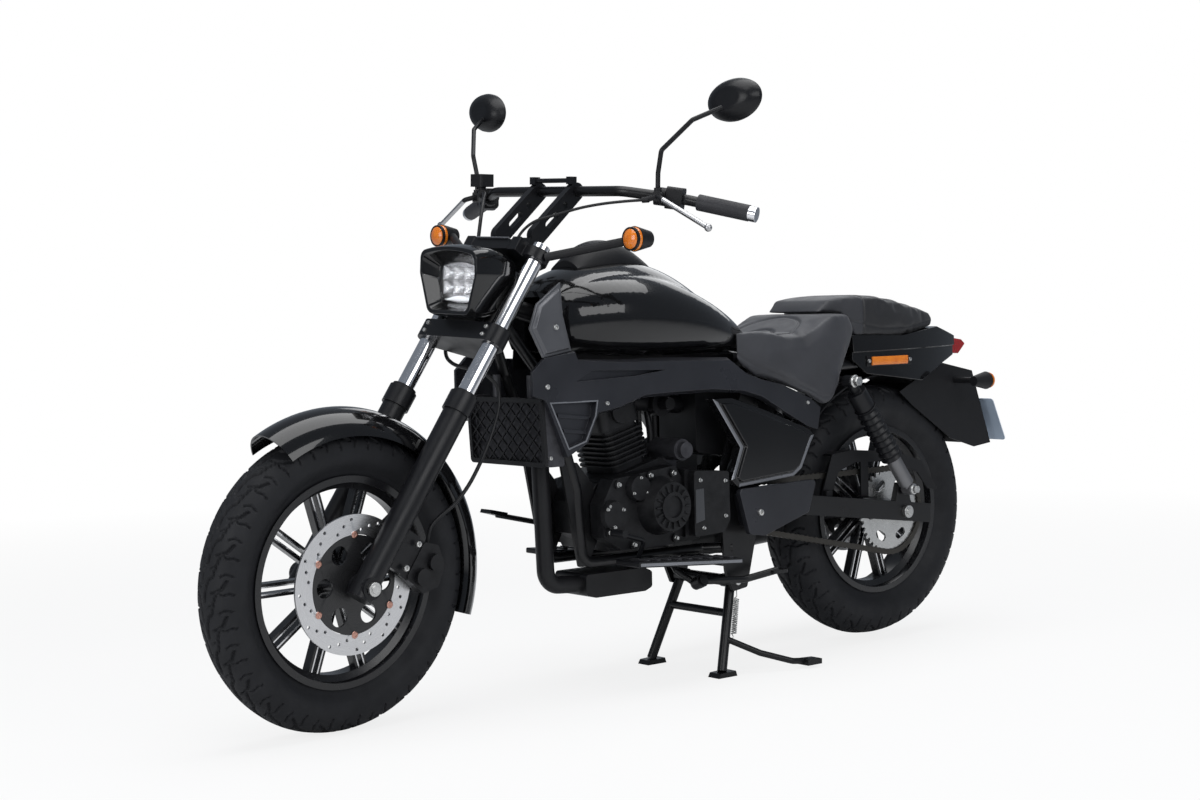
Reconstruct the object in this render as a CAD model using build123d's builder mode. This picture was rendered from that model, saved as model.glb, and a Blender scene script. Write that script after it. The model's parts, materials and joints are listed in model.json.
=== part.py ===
from build123d import *
from math import asin, atan2, cos, degrees, hypot, pi, radians, sin, tan
import os

# A single-cylinder cruiser motorcycle, standing on its centre stand with the steering a
# little to the left. +X is forward, +Y the rider's left, +Z up, and the ground is z = 0.
# All sizes are millimetres. The front end is modelled straight ahead in the fork's own
# frame and is turned about the steering axis when it is saved.

os.makedirs("parts", exist_ok=True)

# ---------------------------------------------------------------- driving dimensions
WHEELBASE = 1520
FRONT_AXLE_X = 830
FRONT_TYRE_R = 302
FRONT_TYRE_W = 110
FRONT_RIM_R = 212
REAR_TYRE_R = 307.5
REAR_TYRE_W = 130
REAR_RIM_R = 204
REAR_LIFT = 14.5            # the centre stand holds the rear tyre this far off the ground
RAKE = radians(34.5)        # lean of the steering axis from the vertical
TRIPLE_OFFSET = 35          # fork tubes ahead of the steering axis
FORK_HALF = 99              # fork tube from the middle plane
STEER_REST = 5              # degrees to the left as it stands

SEAT_BASE = 690.2           # the rider's seat rests here on the rear rails

FIT = 0.3                   # clearance between a piece and the seat it lies in
PIN_FIT = 0.15              # radial clearance of a turning pin
MOVE = 6                    # clearance between moving bodies

FRONT_AXLE = Vector(FRONT_AXLE_X, 0, FRONT_TYRE_R)
REAR_AXLE = Vector(FRONT_AXLE_X - WHEELBASE, 0, REAR_TYRE_R + REAR_LIFT)
REAR = REAR_AXLE.X          # the tail follows the rear wheel

# Along the fork (FORK_Z) the places are measured up the leg from the front axle.
FORK_N = Vector(cos(RAKE), 0, sin(RAKE))
FORK_Z = Vector(-sin(RAKE), 0, cos(RAKE))
FORK = Plane(origin=FRONT_AXLE, x_dir=FORK_N, z_dir=FORK_Z)
HEAD = Plane(origin=FRONT_AXLE - FORK_N * TRIPLE_OFFSET, x_dir=FORK_N, z_dir=FORK_Z)
TURNED = HEAD.location * Location((0, 0, 0), (0, 0, STEER_REST)) * HEAD.location.inverse()


# ---------------------------------------------------------------- helpers
def save(node, piece, place=Location()):
    """Labels a finished piece and writes it as one STEP file."""
    solid = piece.part.moved(place)
    solid.label = node
    export_step(solid, f"parts/{node}.step")


def along_y(x, z, y=0):
    """A plane square to the Y axis at (x, y, z), local x forward and local y up, normal -Y."""
    return Plane(origin=(x, y, z), x_dir=(1, 0, 0), z_dir=(0, -1, 0))


def across(x, z=0):
    """A plane square to the X axis, local x to the left and local y up."""
    return Plane(origin=(x, 0, z), x_dir=(0, 1, 0), z_dir=(1, 0, 0))


def bar(points, radius, bend=0, mode=Mode.ADD):
    """A round bar along straight runs joined by arcs."""
    with BuildLine() as route:
        if bend:
            FilletPolyline(*points, radius=bend)
        else:
            Polyline(*points)
    with BuildSketch(Plane(origin=route.line @ 0, z_dir=route.line % 0)) as section:
        Circle(radius)
    sweep(section.sketch, path=route.line, mode=mode)


def pin(x, z, y_from, y_to, radius, mode=Mode.ADD):
    """A round pin along Y."""
    with BuildSketch(along_y(x, z, y_to)) as section:
        Circle(radius)
    extrude(section.sketch, amount=y_to - y_from, mode=mode)


def slab(outline, y_from, y_to, round_by=0, mode=Mode.ADD):
    """A side-view outline of (x, z) points, given its thickness along Y."""
    with BuildSketch(along_y(0, 0, y_to)) as flat:
        with BuildLine():
            Polyline(*outline, close=True)
        make_face()
        if round_by:
            fillet(flat.vertices(), round_by)
    extrude(flat.sketch, amount=y_to - y_from, mode=mode)


def lathe(profile, centre, arc=360, start=0, mode=Mode.ADD):
    """Turns (radius, y) points about the Y axis through centre, from the angle start."""
    out = Vector(cos(radians(start)), 0, sin(radians(start)))
    with BuildSketch(Plane(origin=centre, x_dir=out, z_dir=out.cross(Vector(0, 1, 0)))) as half:
        with BuildLine():
            Polyline(*profile, close=True)
        make_face()
    revolve(half.sketch, axis=Axis(centre, (0, -1, 0)), revolution_arc=arc, mode=mode)


def face_on(plane, outline, shrink=0):
    """A closed outline drawn on a plane, its edge moved inwards by shrink."""
    with BuildSketch(plane) as flat:
        with BuildLine():
            Polyline(*outline, close=True)
        make_face()
        if shrink:
            offset(amount=-shrink, kind=Kind.INTERSECTION, mode=Mode.REPLACE)
    return flat.sketch


def shaped(outline, plan, inset=0):
    """A side-view outline cut to a plan: arcs of (x, half width) points, inset all along."""
    low = min(z for x, z in outline) - 1
    high = max(z for x, z in outline) + 1
    with BuildPart() as piece:
        slab(outline, -200, 200)
        with BuildSketch(Plane.XY.offset(low)) as top:
            with BuildLine():
                for side in (1, -1):
                    for arc in plan:
                        ThreePointArc(*((x, side * (half - inset)) for x, half in arc))
                for x, half in (plan[0][0], plan[-1][-1]):
                    Line((x, inset - half), (x, half - inset))
            make_face()
        extrude(top.sketch, amount=high - low, mode=Mode.INTERSECT)
    return piece


def both_sides():
    """Adds the right-hand copy of what the part holds."""
    mirror(about=Plane.XZ)


# ---------------------------------------------------------------- wheels
AXLE_R = 8.5
SPOKE_PAIRS = 10
SPOKE_W = 8                 # one bar of a pair
SPOKE_GAP = 20              # middle to middle of a pair
SPOKE_T = 22                # through the wheel
HUB_R = 42
RIM_WALL = 5
FLANGE_H = 9                # rim flange above the bead seat


def tyre(axle, radius, width, rim_r, half_rim):
    """A tyre as a closed ring, its beads on the rim seats and its tread a flat-sided crown."""
    half = width / 2
    tall = radius - rim_r
    seat_r = rim_r - FLANGE_H + FIT
    profile = [
        (seat_r, -half_rim + 8),
        (rim_r + FIT, -half_rim + 4),
        (rim_r + 0.45 * tall, -half),
        (rim_r + 0.78 * tall, -0.86 * half),
        (radius, -0.3 * half),
        (radius, 0.3 * half),
        (rim_r + 0.78 * tall, 0.86 * half),
        (rim_r + 0.45 * tall, half),
        (rim_r + FIT, half_rim - 4),
        (seat_r, half_rim - 8),
    ]
    with BuildPart() as piece:
        lathe(profile, axle)
    return piece


def cast_wheel(axle, rim_r, half_rim, hub_left, hub_right):
    """A cast wheel: drop-centre rim, hub and pairs of straight spokes."""
    seat_r = rim_r - FLANGE_H
    well_r = seat_r - 13
    profile = [
        (rim_r, -half_rim),
        (rim_r, -half_rim + 3),
        (seat_r, -half_rim + 6),
        (seat_r, -0.55 * half_rim),
        (well_r, -0.35 * half_rim),
        (well_r, 0.35 * half_rim),
        (seat_r, 0.55 * half_rim),
        (seat_r, half_rim - 6),
        (rim_r, half_rim - 3),
        (rim_r, half_rim),
        (seat_r - RIM_WALL, half_rim),
        (seat_r - RIM_WALL, 0.6 * half_rim),
        (well_r - RIM_WALL, 0.4 * half_rim),
        (well_r - RIM_WALL, -0.4 * half_rim),
        (seat_r - RIM_WALL, -0.6 * half_rim),
        (seat_r - RIM_WALL, -half_rim),
    ]
    inner = HUB_R - 4
    outer = well_r - RIM_WALL / 2
    with BuildPart() as piece:
        lathe(profile, axle)
        with BuildSketch(along_y(axle.X, axle.Z, SPOKE_T / 2)):
            with PolarLocations(0, SPOKE_PAIRS):
                for offset_y in (-SPOKE_GAP / 2, SPOKE_GAP / 2):
                    with Locations(((inner + outer) / 2, offset_y)):
                        Rectangle(outer - inner, SPOKE_W)
        extrude(amount=SPOKE_T)
        pin(axle.X, axle.Z, hub_right, hub_left, HUB_R)
        pin(axle.X, axle.Z, hub_right, hub_left, AXLE_R + PIN_FIT, mode=Mode.SUBTRACT)
    return piece


FRONT_HALF_RIM = 38
REAR_HALF_RIM = 50
DISC_T = 4.5
DISC_Y = 62                 # middle of the front brake disc
DISC_R = 139
DISC_IN = 99
FRONT_HUB_HALF = 52
REAR_HUB_HALF = 62
CARRIER_R = DISC_IN - 1

save("front_tyre", tyre(FRONT_AXLE, FRONT_TYRE_R, FRONT_TYRE_W, FRONT_RIM_R, FRONT_HALF_RIM), TURNED)
save("front_wheel", cast_wheel(FRONT_AXLE, FRONT_RIM_R, FRONT_HALF_RIM,
                               DISC_Y - DISC_T / 2, -FRONT_HUB_HALF), TURNED)
save("rear_tyre", tyre(REAR_AXLE, REAR_TYRE_R, REAR_TYRE_W, REAR_RIM_R, REAR_HALF_RIM))
save("rear_wheel", cast_wheel(REAR_AXLE, REAR_RIM_R, REAR_HALF_RIM, REAR_HUB_HALF, -REAR_HUB_HALF))

DISC_HOLES = 12             # groups of three drilled holes
DISC_HOLE_R = 3.5
BUTTONS = 6                 # the floating disc's rivets
BUTTON_R = 8


def brake_disc(axle, y_mid, r_out, r_in, r_carrier):
    """A drilled ring riveted to a dished carrier that bolts to the hub."""
    with BuildPart() as piece:
        pin(axle.X, axle.Z, y_mid - DISC_T / 2, y_mid + DISC_T / 2, r_out)
        pin(axle.X, axle.Z, y_mid - DISC_T / 2, y_mid + DISC_T / 2, r_in, mode=Mode.SUBTRACT)
        step = (r_out - r_in) / 4
        with BuildSketch(along_y(axle.X, axle.Z, y_mid + DISC_T)):
            for row in (1, 2, 3):
                with PolarLocations(r_in + row * step, DISC_HOLES, start_angle=row * 9):
                    Circle(DISC_HOLE_R)
        extrude(amount=2 * DISC_T, mode=Mode.SUBTRACT)
        with BuildSketch(along_y(axle.X, axle.Z, y_mid + DISC_T / 2)):
            Circle(r_carrier)
            with PolarLocations((r_carrier + HUB_R) / 2, BUTTONS):
                Circle((r_carrier - HUB_R) / 2 - 9, mode=Mode.SUBTRACT)
            Circle(AXLE_R + 8, mode=Mode.SUBTRACT)
        extrude(amount=DISC_T)
        with BuildSketch(along_y(axle.X, axle.Z, y_mid + DISC_T / 2 + 2)):
            with PolarLocations(r_in, BUTTONS, start_angle=180 / BUTTONS):
                Circle(BUTTON_R)
        extrude(amount=DISC_T + 3)
    return piece


REAR_DISC_Y = -(REAR_HUB_HALF + DISC_T / 2)
save("front_disc", brake_disc(FRONT_AXLE, DISC_Y, DISC_R, DISC_IN, CARRIER_R), TURNED)
save("rear_disc", brake_disc(REAR_AXLE, REAR_DISC_Y, 110, 80, 79))

# Chain and sprockets
CHAIN_PITCH = 15.875
REAR_TEETH = 40
FRONT_TEETH = 14
CHAIN_Y = 85
SPROCKET_T = 5.5
ROLLER_R = 5.1
PLATE_GAP = 7               # between the chain's side plates
PLATE_T = 4
OUTPUT_SHAFT = Vector(-60, 0, 385)


def pitch_radius(teeth):
    return CHAIN_PITCH / 2 / sin(pi / teeth)


def sprocket_teeth(teeth):
    """Fills the sketch with a toothed outline: flat-topped teeth between V roots."""
    ring = pitch_radius(teeth)
    points = []
    for tooth in range(teeth):
        middle = 2 * pi * tooth / teeth
        for share, reach in ((-0.34, -ROLLER_R), (-0.12, 0.8 * ROLLER_R),
                             (0.12, 0.8 * ROLLER_R), (0.34, -ROLLER_R)):
            angle = middle + share * 2 * pi / teeth
            points.append(((ring + reach) * cos(angle), (ring + reach) * sin(angle)))
    with BuildLine() as outline:
        Polyline(*points, close=True)
    make_face(outline.edges())


SPROCKET_SLOTS = 6
with BuildPart() as rear_sprocket:
    with BuildSketch(along_y(REAR_AXLE.X, REAR_AXLE.Z, CHAIN_Y + SPROCKET_T / 2)):
        sprocket_teeth(REAR_TEETH)
        with PolarLocations(0.68 * pitch_radius(REAR_TEETH), SPROCKET_SLOTS):
            SlotOverall(36, 20, rotation=90, mode=Mode.SUBTRACT)
        Circle(AXLE_R + 8, mode=Mode.SUBTRACT)
    extrude(amount=SPROCKET_T)
    pin(REAR_AXLE.X, REAR_AXLE.Z, REAR_HUB_HALF, CHAIN_Y - SPROCKET_T / 2, 40)
    pin(REAR_AXLE.X, REAR_AXLE.Z, REAR_HUB_HALF, CHAIN_Y, AXLE_R + 8, mode=Mode.SUBTRACT)
save("rear_sprocket", rear_sprocket)


def chain_stations():
    """Centres of the chain's pins, with the outward direction at each, once round the loop."""
    big, small = pitch_radius(REAR_TEETH), pitch_radius(FRONT_TEETH)
    span = OUTPUT_SHAFT - REAR_AXLE
    length = hypot(span.X, span.Z)
    heading = atan2(span.Z, span.X)
    dip = asin((big - small) / length)
    straight = length * cos(dip)
    arc_big = big * (pi + 2 * dip)
    arc_small = small * (pi - 2 * dip)
    total = arc_big + arc_small + 2 * straight
    links = 2 * round(total / CHAIN_PITCH / 2)
    step = total / links
    stations = []
    for link in range(2 * links):
        run = link * step / 2
        if run < straight:
            out = heading + pi / 2 - dip
            x = REAR_AXLE.X + big * cos(out) + run * cos(out - pi / 2)
            z = REAR_AXLE.Z + big * sin(out) + run * sin(out - pi / 2)
            on_run = True
        elif run < straight + arc_small:
            out = heading + pi / 2 - dip - (run - straight) / small
            x = OUTPUT_SHAFT.X + small * cos(out)
            z = OUTPUT_SHAFT.Z + small * sin(out)
            on_run = False
        elif run < 2 * straight + arc_small:
            out = heading - pi / 2 + dip
            back = run - straight - arc_small
            x = OUTPUT_SHAFT.X + small * cos(out) + back * cos(out - pi / 2)
            z = OUTPUT_SHAFT.Z + small * sin(out) + back * sin(out - pi / 2)
            on_run = True
        else:
            out = heading - pi / 2 + dip - (run - 2 * straight - arc_small) / big
            x = REAR_AXLE.X + big * cos(out)
            z = REAR_AXLE.Z + big * sin(out)
            on_run = False
        stations.append((x, z, out, on_run))
    return stations


with BuildPart() as chain:
    stations = chain_stations()
    half_plate = (7.2, 5.2)     # half height of a side plate at a pin and between pins
    for y_mid in (CHAIN_Y - (PLATE_GAP + PLATE_T) / 2, CHAIN_Y + (PLATE_GAP + PLATE_T) / 2):
        with BuildSketch(along_y(0, 0, y_mid + PLATE_T / 2)):
            for side, how in ((1, Mode.ADD), (-1, Mode.SUBTRACT)):
                edge = [(x + side * half_plate[i % 2] * cos(out), z + side * half_plate[i % 2] * sin(out))
                        for i, (x, z, out, on_run) in enumerate(stations)]
                with BuildLine():
                    Polyline(*edge, close=True)
                make_face(mode=how)
        extrude(amount=PLATE_T)
    with BuildSketch(along_y(0, 0, CHAIN_Y + PLATE_GAP / 2)):
        for x, z, out, on_run in stations[::2]:
            from_big = hypot(x - REAR_AXLE.X, z - REAR_AXLE.Z) - pitch_radius(REAR_TEETH)
            from_small = hypot(x - OUTPUT_SHAFT.X, z - OUTPUT_SHAFT.Z) - pitch_radius(FRONT_TEETH)
            if on_run and min(from_big, from_small) > 2 * ROLLER_R:
                with Locations((x, z)):
                    RegularPolygon(ROLLER_R, 6)
    extrude(amount=PLATE_GAP)
save("chain", chain)

# ---------------------------------------------------------------- front end
SLIDER_R = 26
SLIDER_TOP = 442
SLIDER_DEEP = 60            # the tube reaches this far into the slider
BOOT_R = 30
FORK_TUBE_R = 18.5
FORK_TUBE_TOP = 800
LOWER_YOKE = (556, 596)     # along the leg
TOP_YOKE = (762, 786)
STEM_R = 14
HEAD_TUBE_R = 28
FRONT_AXLE_END = 137

with BuildPart() as fork_sliders:
    with BuildSketch(FORK.offset(-26)):
        with Locations((0, FORK_HALF)):
            Circle(SLIDER_R)
    extrude(amount=SLIDER_TOP + 26)
    with BuildSketch(FORK.offset(SLIDER_TOP - 46)):
        with Locations((0, FORK_HALF)):
            Circle(BOOT_R)
    extrude(amount=40)
    with BuildSketch(FORK.offset(SLIDER_TOP - SLIDER_DEEP)):
        with Locations((0, FORK_HALF)):
            Circle(FORK_TUBE_R + FIT)
    extrude(amount=SLIDER_DEEP, mode=Mode.SUBTRACT)
    pin(FRONT_AXLE.X, FRONT_AXLE.Z, FORK_HALF - SLIDER_R, FORK_HALF + SLIDER_R, 22)
    pin(FRONT_AXLE.X, FRONT_AXLE.Z, 0, 200, AXLE_R + FIT / 2, mode=Mode.SUBTRACT)
    with BuildSketch(FORK.offset(60)):          # caliper lugs behind the left leg
        with Locations((-38, FORK_HALF)):
            Rectangle(44, 14)
    extrude(amount=84)
    both_sides()
save("fork_sliders", fork_sliders, TURNED)

with BuildPart() as fork_tubes:
    with BuildSketch(FORK.offset(SLIDER_TOP - SLIDER_DEEP)):
        with Locations((0, FORK_HALF), (0, -FORK_HALF)):
            Circle(FORK_TUBE_R)
    extrude(amount=FORK_TUBE_TOP - SLIDER_TOP + SLIDER_DEEP)
save("fork_tubes", fork_tubes, TURNED)

with BuildPart() as fork_yokes:
    for low, high in (LOWER_YOKE, TOP_YOKE):
        with BuildSketch(FORK.offset(low)):
            with Locations((0, FORK_HALF), (0, -FORK_HALF)):
                Circle(FORK_TUBE_R + 9)
            with Locations((-TRIPLE_OFFSET, 0)):
                Circle(STEM_R + 14)
            make_hull()
            with Locations((0, FORK_HALF), (0, -FORK_HALF)):
                Circle(FORK_TUBE_R + FIT / 2, mode=Mode.SUBTRACT)
        extrude(amount=high - low)
    with BuildSketch(HEAD.offset(LOWER_YOKE[0])):
        Circle(STEM_R)
    extrude(amount=TOP_YOKE[1] + 14 - LOWER_YOKE[0])
    with BuildSketch(FORK.offset(TOP_YOKE[0])):     # flat front of the top yoke
        with Locations((24, 0)):
            Rectangle(48, 120)
    extrude(amount=TOP_YOKE[1] - TOP_YOKE[0])
    with BuildSketch(FORK.offset(TOP_YOKE[0] - 2)):
        with Locations((36, 73), (36, -73)):
            Rectangle(26, 26)
    extrude(amount=32)
save("fork_yokes", fork_yokes, TURNED)

with BuildPart() as front_axle:
    pin(FRONT_AXLE.X, FRONT_AXLE.Z, -FRONT_AXLE_END + 8, FRONT_AXLE_END, AXLE_R)
    lug_in, lug_out = FORK_HALF - SLIDER_R - FIT, FORK_HALF + SLIDER_R + FIT
    pin(FRONT_AXLE.X, FRONT_AXLE.Z, -FRONT_AXLE_END + 2, -lug_out, 14)
    pin(FRONT_AXLE.X, FRONT_AXLE.Z, lug_out, lug_out + 8, 14)
    pin(FRONT_AXLE.X, FRONT_AXLE.Z, -lug_in, -FRONT_HUB_HALF - 1, 14)
    pin(FRONT_AXLE.X, FRONT_AXLE.Z, DISC_Y + DISC_T / 2 + 1, lug_in, 14)
save("front_axle", front_axle, TURNED)

GUARD_R = 345               # outside of the mudguard on the middle plane
GUARD_EDGE_R = 292
GUARD_HALF = 68
GUARD_T = 3
GUARD_FROM = 198            # degrees round the wheel, from straight ahead
GUARD_TO = 60

with BuildPart() as front_mudguard:
    out = Vector(cos(radians(GUARD_TO)), 0, sin(radians(GUARD_TO)))
    with BuildSketch(Plane(origin=FRONT_AXLE, x_dir=out, z_dir=out.cross(Vector(0, 1, 0)))):
        with BuildLine():
            outer = ThreePointArc((GUARD_EDGE_R, -GUARD_HALF), (GUARD_R, 0), (GUARD_EDGE_R, GUARD_HALF))
            inner = ThreePointArc((GUARD_EDGE_R, -GUARD_HALF + GUARD_T), (GUARD_R - GUARD_T, 0),
                                  (GUARD_EDGE_R, GUARD_HALF - GUARD_T))
            Line(outer @ 0, inner @ 0)
            Line(outer @ 1, inner @ 1)
        make_face()
    revolve(axis=Axis(FRONT_AXLE, (0, -1, 0)), revolution_arc=GUARD_FROM - GUARD_TO)
    for y_mid in (-GUARD_HALF, GUARD_HALF):     # stays to the sliders
        with BuildSketch(FORK.offset(GUARD_EDGE_R + 3)):
            with Locations((-10, y_mid)):
                Rectangle(70, 2 * (FORK_HALF - SLIDER_R - FIT - GUARD_HALF))
        extrude(amount=22)
save("front_mudguard", front_mudguard, TURNED)

CALIPER_BOLTS = ((-54, 74), (-54, 128))     # behind the leg's middle, along the leg
with BuildPart() as front_caliper:
    side = Plane(origin=FRONT_AXLE + Vector(0, 94, 0), x_dir=FORK_N, z_dir=(0, -1, 0))
    with BuildSketch(side) as outline:
        with BuildLine():
            Polyline((-84, 64), (-84, 146), (-118, 158), (-156, 132), (-166, 88), (-140, 58), close=True)
        make_face()
        fillet(outline.vertices(), 9)
    extrude(amount=48)
    slot = Plane(origin=FRONT_AXLE + Vector(0, DISC_Y + DISC_T / 2 + 2, 0), x_dir=FORK_N, z_dir=(0, -1, 0))
    with BuildSketch(slot):
        Circle(DISC_R + MOVE)
    extrude(amount=DISC_T + 4, mode=Mode.SUBTRACT)
    for centre in ((-116, 84), (-128, 124)):    # piston housings
        with BuildSketch(side):
            with Locations(centre):
                Circle(17)
        extrude(amount=-10)
    with BuildSketch(Plane(origin=FRONT_AXLE + Vector(0, FORK_HALF - 7 - FIT, 0), x_dir=FORK_N,
                           z_dir=(0, -1, 0))):
        with BuildLine():
            Polyline((-46, 62), (-46, 140), (-88, 148), (-88, 60), close=True)
        make_face()
    extrude(amount=10)
save("front_caliper", front_caliper, TURNED)

# Headlamp: sections across the shell, from front to back
HEADLAMP_SECTIONS = [       # x, half width at the brow, half width at the chin, bottom z, top z
    (546, 90, 66, 822, 960),
    (500, 88, 64, 814, 964),
    (440, 78, 54, 830, 946),
    (396, 62, 42, 846, 924),
]
HEADLAMP_LENS = (519, 62, 50, 842, 930)     # the same for the lens, at the bottom of the funnel
HEADLAMP_RIM = 7
BROW_RISE = 10
LENS_T = 12


def shield(x, half_top, half_low, low, top, shrink=0):
    """A shield-shaped headlamp section: arched brow, narrower chin, rounded corners."""
    middle = (low + top) / 2
    tall = (top - low) / 2 - shrink
    side = half_top - shrink
    with BuildSketch(across(x, middle)) as section:
        with BuildLine():
            ThreePointArc((-side, tall - BROW_RISE), (0, tall), (side, tall - BROW_RISE))
            Polyline((side, tall - BROW_RISE), (side + 2, 0.2 * tall), (half_low - shrink, -tall),
                     (shrink - half_low, -tall), (-side - 2, 0.2 * tall), (-side, tall - BROW_RISE))
        make_face()
        fillet(section.vertices(), 0.28 * tall)
    return section.sketch


with BuildPart() as headlamp_shell:
    loft([shield(*row) for row in HEADLAMP_SECTIONS])
    loft([shield(*HEADLAMP_SECTIONS[0], shrink=HEADLAMP_RIM), shield(*HEADLAMP_LENS)], mode=Mode.SUBTRACT)
    extrude(shield(*HEADLAMP_LENS), amount=-LENS_T, mode=Mode.SUBTRACT)
    with BuildSketch(FORK.offset(LOWER_YOKE[1])):       # reliefs for the fork tubes
        with Locations((0, FORK_HALF), (0, -FORK_HALF)):
            Circle(FORK_TUBE_R + 1)
    extrude(amount=TOP_YOKE[0] - LOWER_YOKE[1], mode=Mode.SUBTRACT)
    with BuildSketch(HEAD.offset(LOWER_YOKE[1] - 60)):      # room for the head tube
        with Locations((HEAD_TUBE_R + MOVE - 100, 0)):
            Rectangle(200, 300)
    extrude(amount=300, mode=Mode.SUBTRACT)
    with BuildSketch(FORK.offset(LOWER_YOKE[1] + 40)):      # bracket to the lower yoke
        with Locations((15, 0)):
            Rectangle(22, 90)
    extrude(amount=-40 + FIT)
save("headlamp_shell", headlamp_shell, TURNED)

with BuildPart() as headlamp_lens:
    extrude(shield(*HEADLAMP_LENS, shrink=FIT), amount=-LENS_T)
save("headlamp_lens", headlamp_lens, TURNED)

# Handlebar, points on the left half from the middle outwards
BAR_R = 11
BAR_MIDDLE = Vector(248, 0, 1078)
BAR_BEND = Vector(248, 200, 1078)
BAR_KNEE = Vector(172, 319, 1060)
BAR_END = Vector(118, 440, 1034)
GRIP_R = 17
GRIP_L = 112
RISER_Y = 58
RISER_T = 16
RISER_FOOT = (356, 984)
RISER_FOOT_R = 20


def flip(point):
    return Vector(point.X, -point.Y, point.Z)


BAR_POINTS = [flip(BAR_END), flip(BAR_KNEE), flip(BAR_BEND), BAR_BEND, BAR_KNEE, BAR_END]
BAR_BEND_R = 55
with BuildPart() as handlebar:
    bar(BAR_POINTS, BAR_R, bend=BAR_BEND_R)
save("handlebar", handlebar, TURNED)

with BuildPart() as handlebar_risers:
    with BuildSketch(along_y(0, 0, RISER_Y + RISER_T / 2)):
        with Locations(RISER_FOOT):
            Circle(RISER_FOOT_R)
        with Locations((BAR_MIDDLE.X, BAR_MIDDLE.Z)):
            Circle(BAR_R + 8)
        make_hull()
        with Locations((BAR_MIDDLE.X, BAR_MIDDLE.Z)):
            Circle(BAR_R + FIT / 2, mode=Mode.SUBTRACT)
        rise = degrees(atan2(BAR_MIDDLE.Z - RISER_FOOT[1], BAR_MIDDLE.X - RISER_FOOT[0]))
        with Locations(((BAR_MIDDLE.X + RISER_FOOT[0]) / 2 + 16, (BAR_MIDDLE.Z + RISER_FOOT[1]) / 2 - 14)):
            SlotOverall(46, 15, rotation=rise, mode=Mode.SUBTRACT)
        with Locations((BAR_MIDDLE.X + 34, BAR_MIDDLE.Z - 30)):
            Circle(7, mode=Mode.SUBTRACT)
    extrude(amount=RISER_T)
    both_sides()
    bar([(BAR_MIDDLE.X + 10, -RISER_Y, BAR_MIDDLE.Z + BAR_R + 12),
         (BAR_MIDDLE.X + 10, RISER_Y, BAR_MIDDLE.Z + BAR_R + 12)], 5)
    for y_mid in (-RISER_Y, RISER_Y):
        with BuildSketch(Plane(origin=(BAR_MIDDLE.X + 10, y_mid, BAR_MIDDLE.Z + BAR_R + 4))):
            Rectangle(16, RISER_T)
        extrude(amount=16)
        with BuildSketch(FORK.offset(TOP_YOKE[1])):         # foot on the top yoke
            with Locations((-4, y_mid)):
                Rectangle(38, RISER_T + 8)
        extrude(amount=26)
save("handlebar_risers", handlebar_risers, TURNED)

with BuildPart() as grips:
    axis = (BAR_END - BAR_KNEE).normalized()
    with BuildSketch(Plane(origin=BAR_END, z_dir=axis)):
        Circle(GRIP_R)
        Circle(BAR_R + FIT / 2, mode=Mode.SUBTRACT)
    extrude(amount=-GRIP_L)
    with BuildSketch(Plane(origin=BAR_END + axis * FIT, z_dir=axis)):
        Circle(GRIP_R - 1)
    extrude(amount=16)
    both_sides()
save("grips", grips, TURNED)


PERCH_BACK = 58             # lever perch from the bar's outer bend
BAR_RUN = (BAR_KNEE - BAR_BEND).normalized()
BAR_FRONT = BAR_RUN.cross(Vector(0, 0, 1)).normalized()
PERCH = BAR_KNEE - BAR_RUN * PERCH_BACK
MIRROR_FOOT = PERCH + BAR_FRONT * 30 + Vector(0, 0, 17)     # top of the mirror's boss
MASTER = PERCH + BAR_FRONT * 24                             # brake master cylinder
RESERVOIR = flip(MASTER - BAR_RUN * 38)                     # its fluid reservoir
CABLE_START = Vector(250, 264, 1059)                        # the clutch cable leaves its lever
CABLE_NEXT = Vector(264, 236, 1057)
CABLE_OUT = (CABLE_NEXT - CABLE_START).normalized()


def hand_control(side):
    """Switch block, lever perch, lever blade and mirror boss on one side of the bar."""
    run = BAR_RUN if side > 0 else flip(BAR_RUN)
    front = BAR_FRONT if side > 0 else flip(BAR_FRONT)
    perch = PERCH if side > 0 else flip(PERCH)
    block = perch + run * (PERCH_BACK - 28)
    with BuildPart() as piece:
        with BuildSketch(Plane(origin=block - run * 16, z_dir=run)):
            RectangleRounded(42, 46, 9)
        extrude(amount=34)
        with BuildSketch(Plane(origin=perch - run * 12, z_dir=run)):
            Circle(BAR_R + 8)
        extrude(amount=24)
        bar([perch + front * 8, perch + front * 40], 11)
        lever = perch + front * 36
        tip = Vector(222, side * 424, 1004)
        bar([lever, lever + Vector(10, side * 22, -6), tip], 5.5, bend=12)
        with Locations(Location(tip)):
            Sphere(8)
        bar([MIRROR_FOOT - Vector(0, 0, 20), MIRROR_FOOT] if side > 0
            else [flip(MIRROR_FOOT) - Vector(0, 0, 20), flip(MIRROR_FOOT)], 8)
    return piece


with BuildPart() as hand_controls:
    add(hand_control(1).part)
    add(hand_control(-1).part)
    bar([flip(MASTER), flip(MASTER - BAR_RUN * 50)], 10)
    bar([RESERVOIR, RESERVOIR + Vector(0, 0, 20)], 9)
    with BuildSketch(Plane(origin=RESERVOIR + Vector(0, 0, 18))):
        RectangleRounded(40, 40, 6)
    extrude(amount=28)
    bar([PERCH + BAR_FRONT * 36, CABLE_START - CABLE_OUT * 7], 6)
    bar([CABLE_START - CABLE_OUT * 14, CABLE_START], 6)
    bar(BAR_POINTS, BAR_R + FIT / 2, bend=BAR_BEND_R, mode=Mode.SUBTRACT)
save("hand_controls", hand_controls, TURNED)

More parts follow.
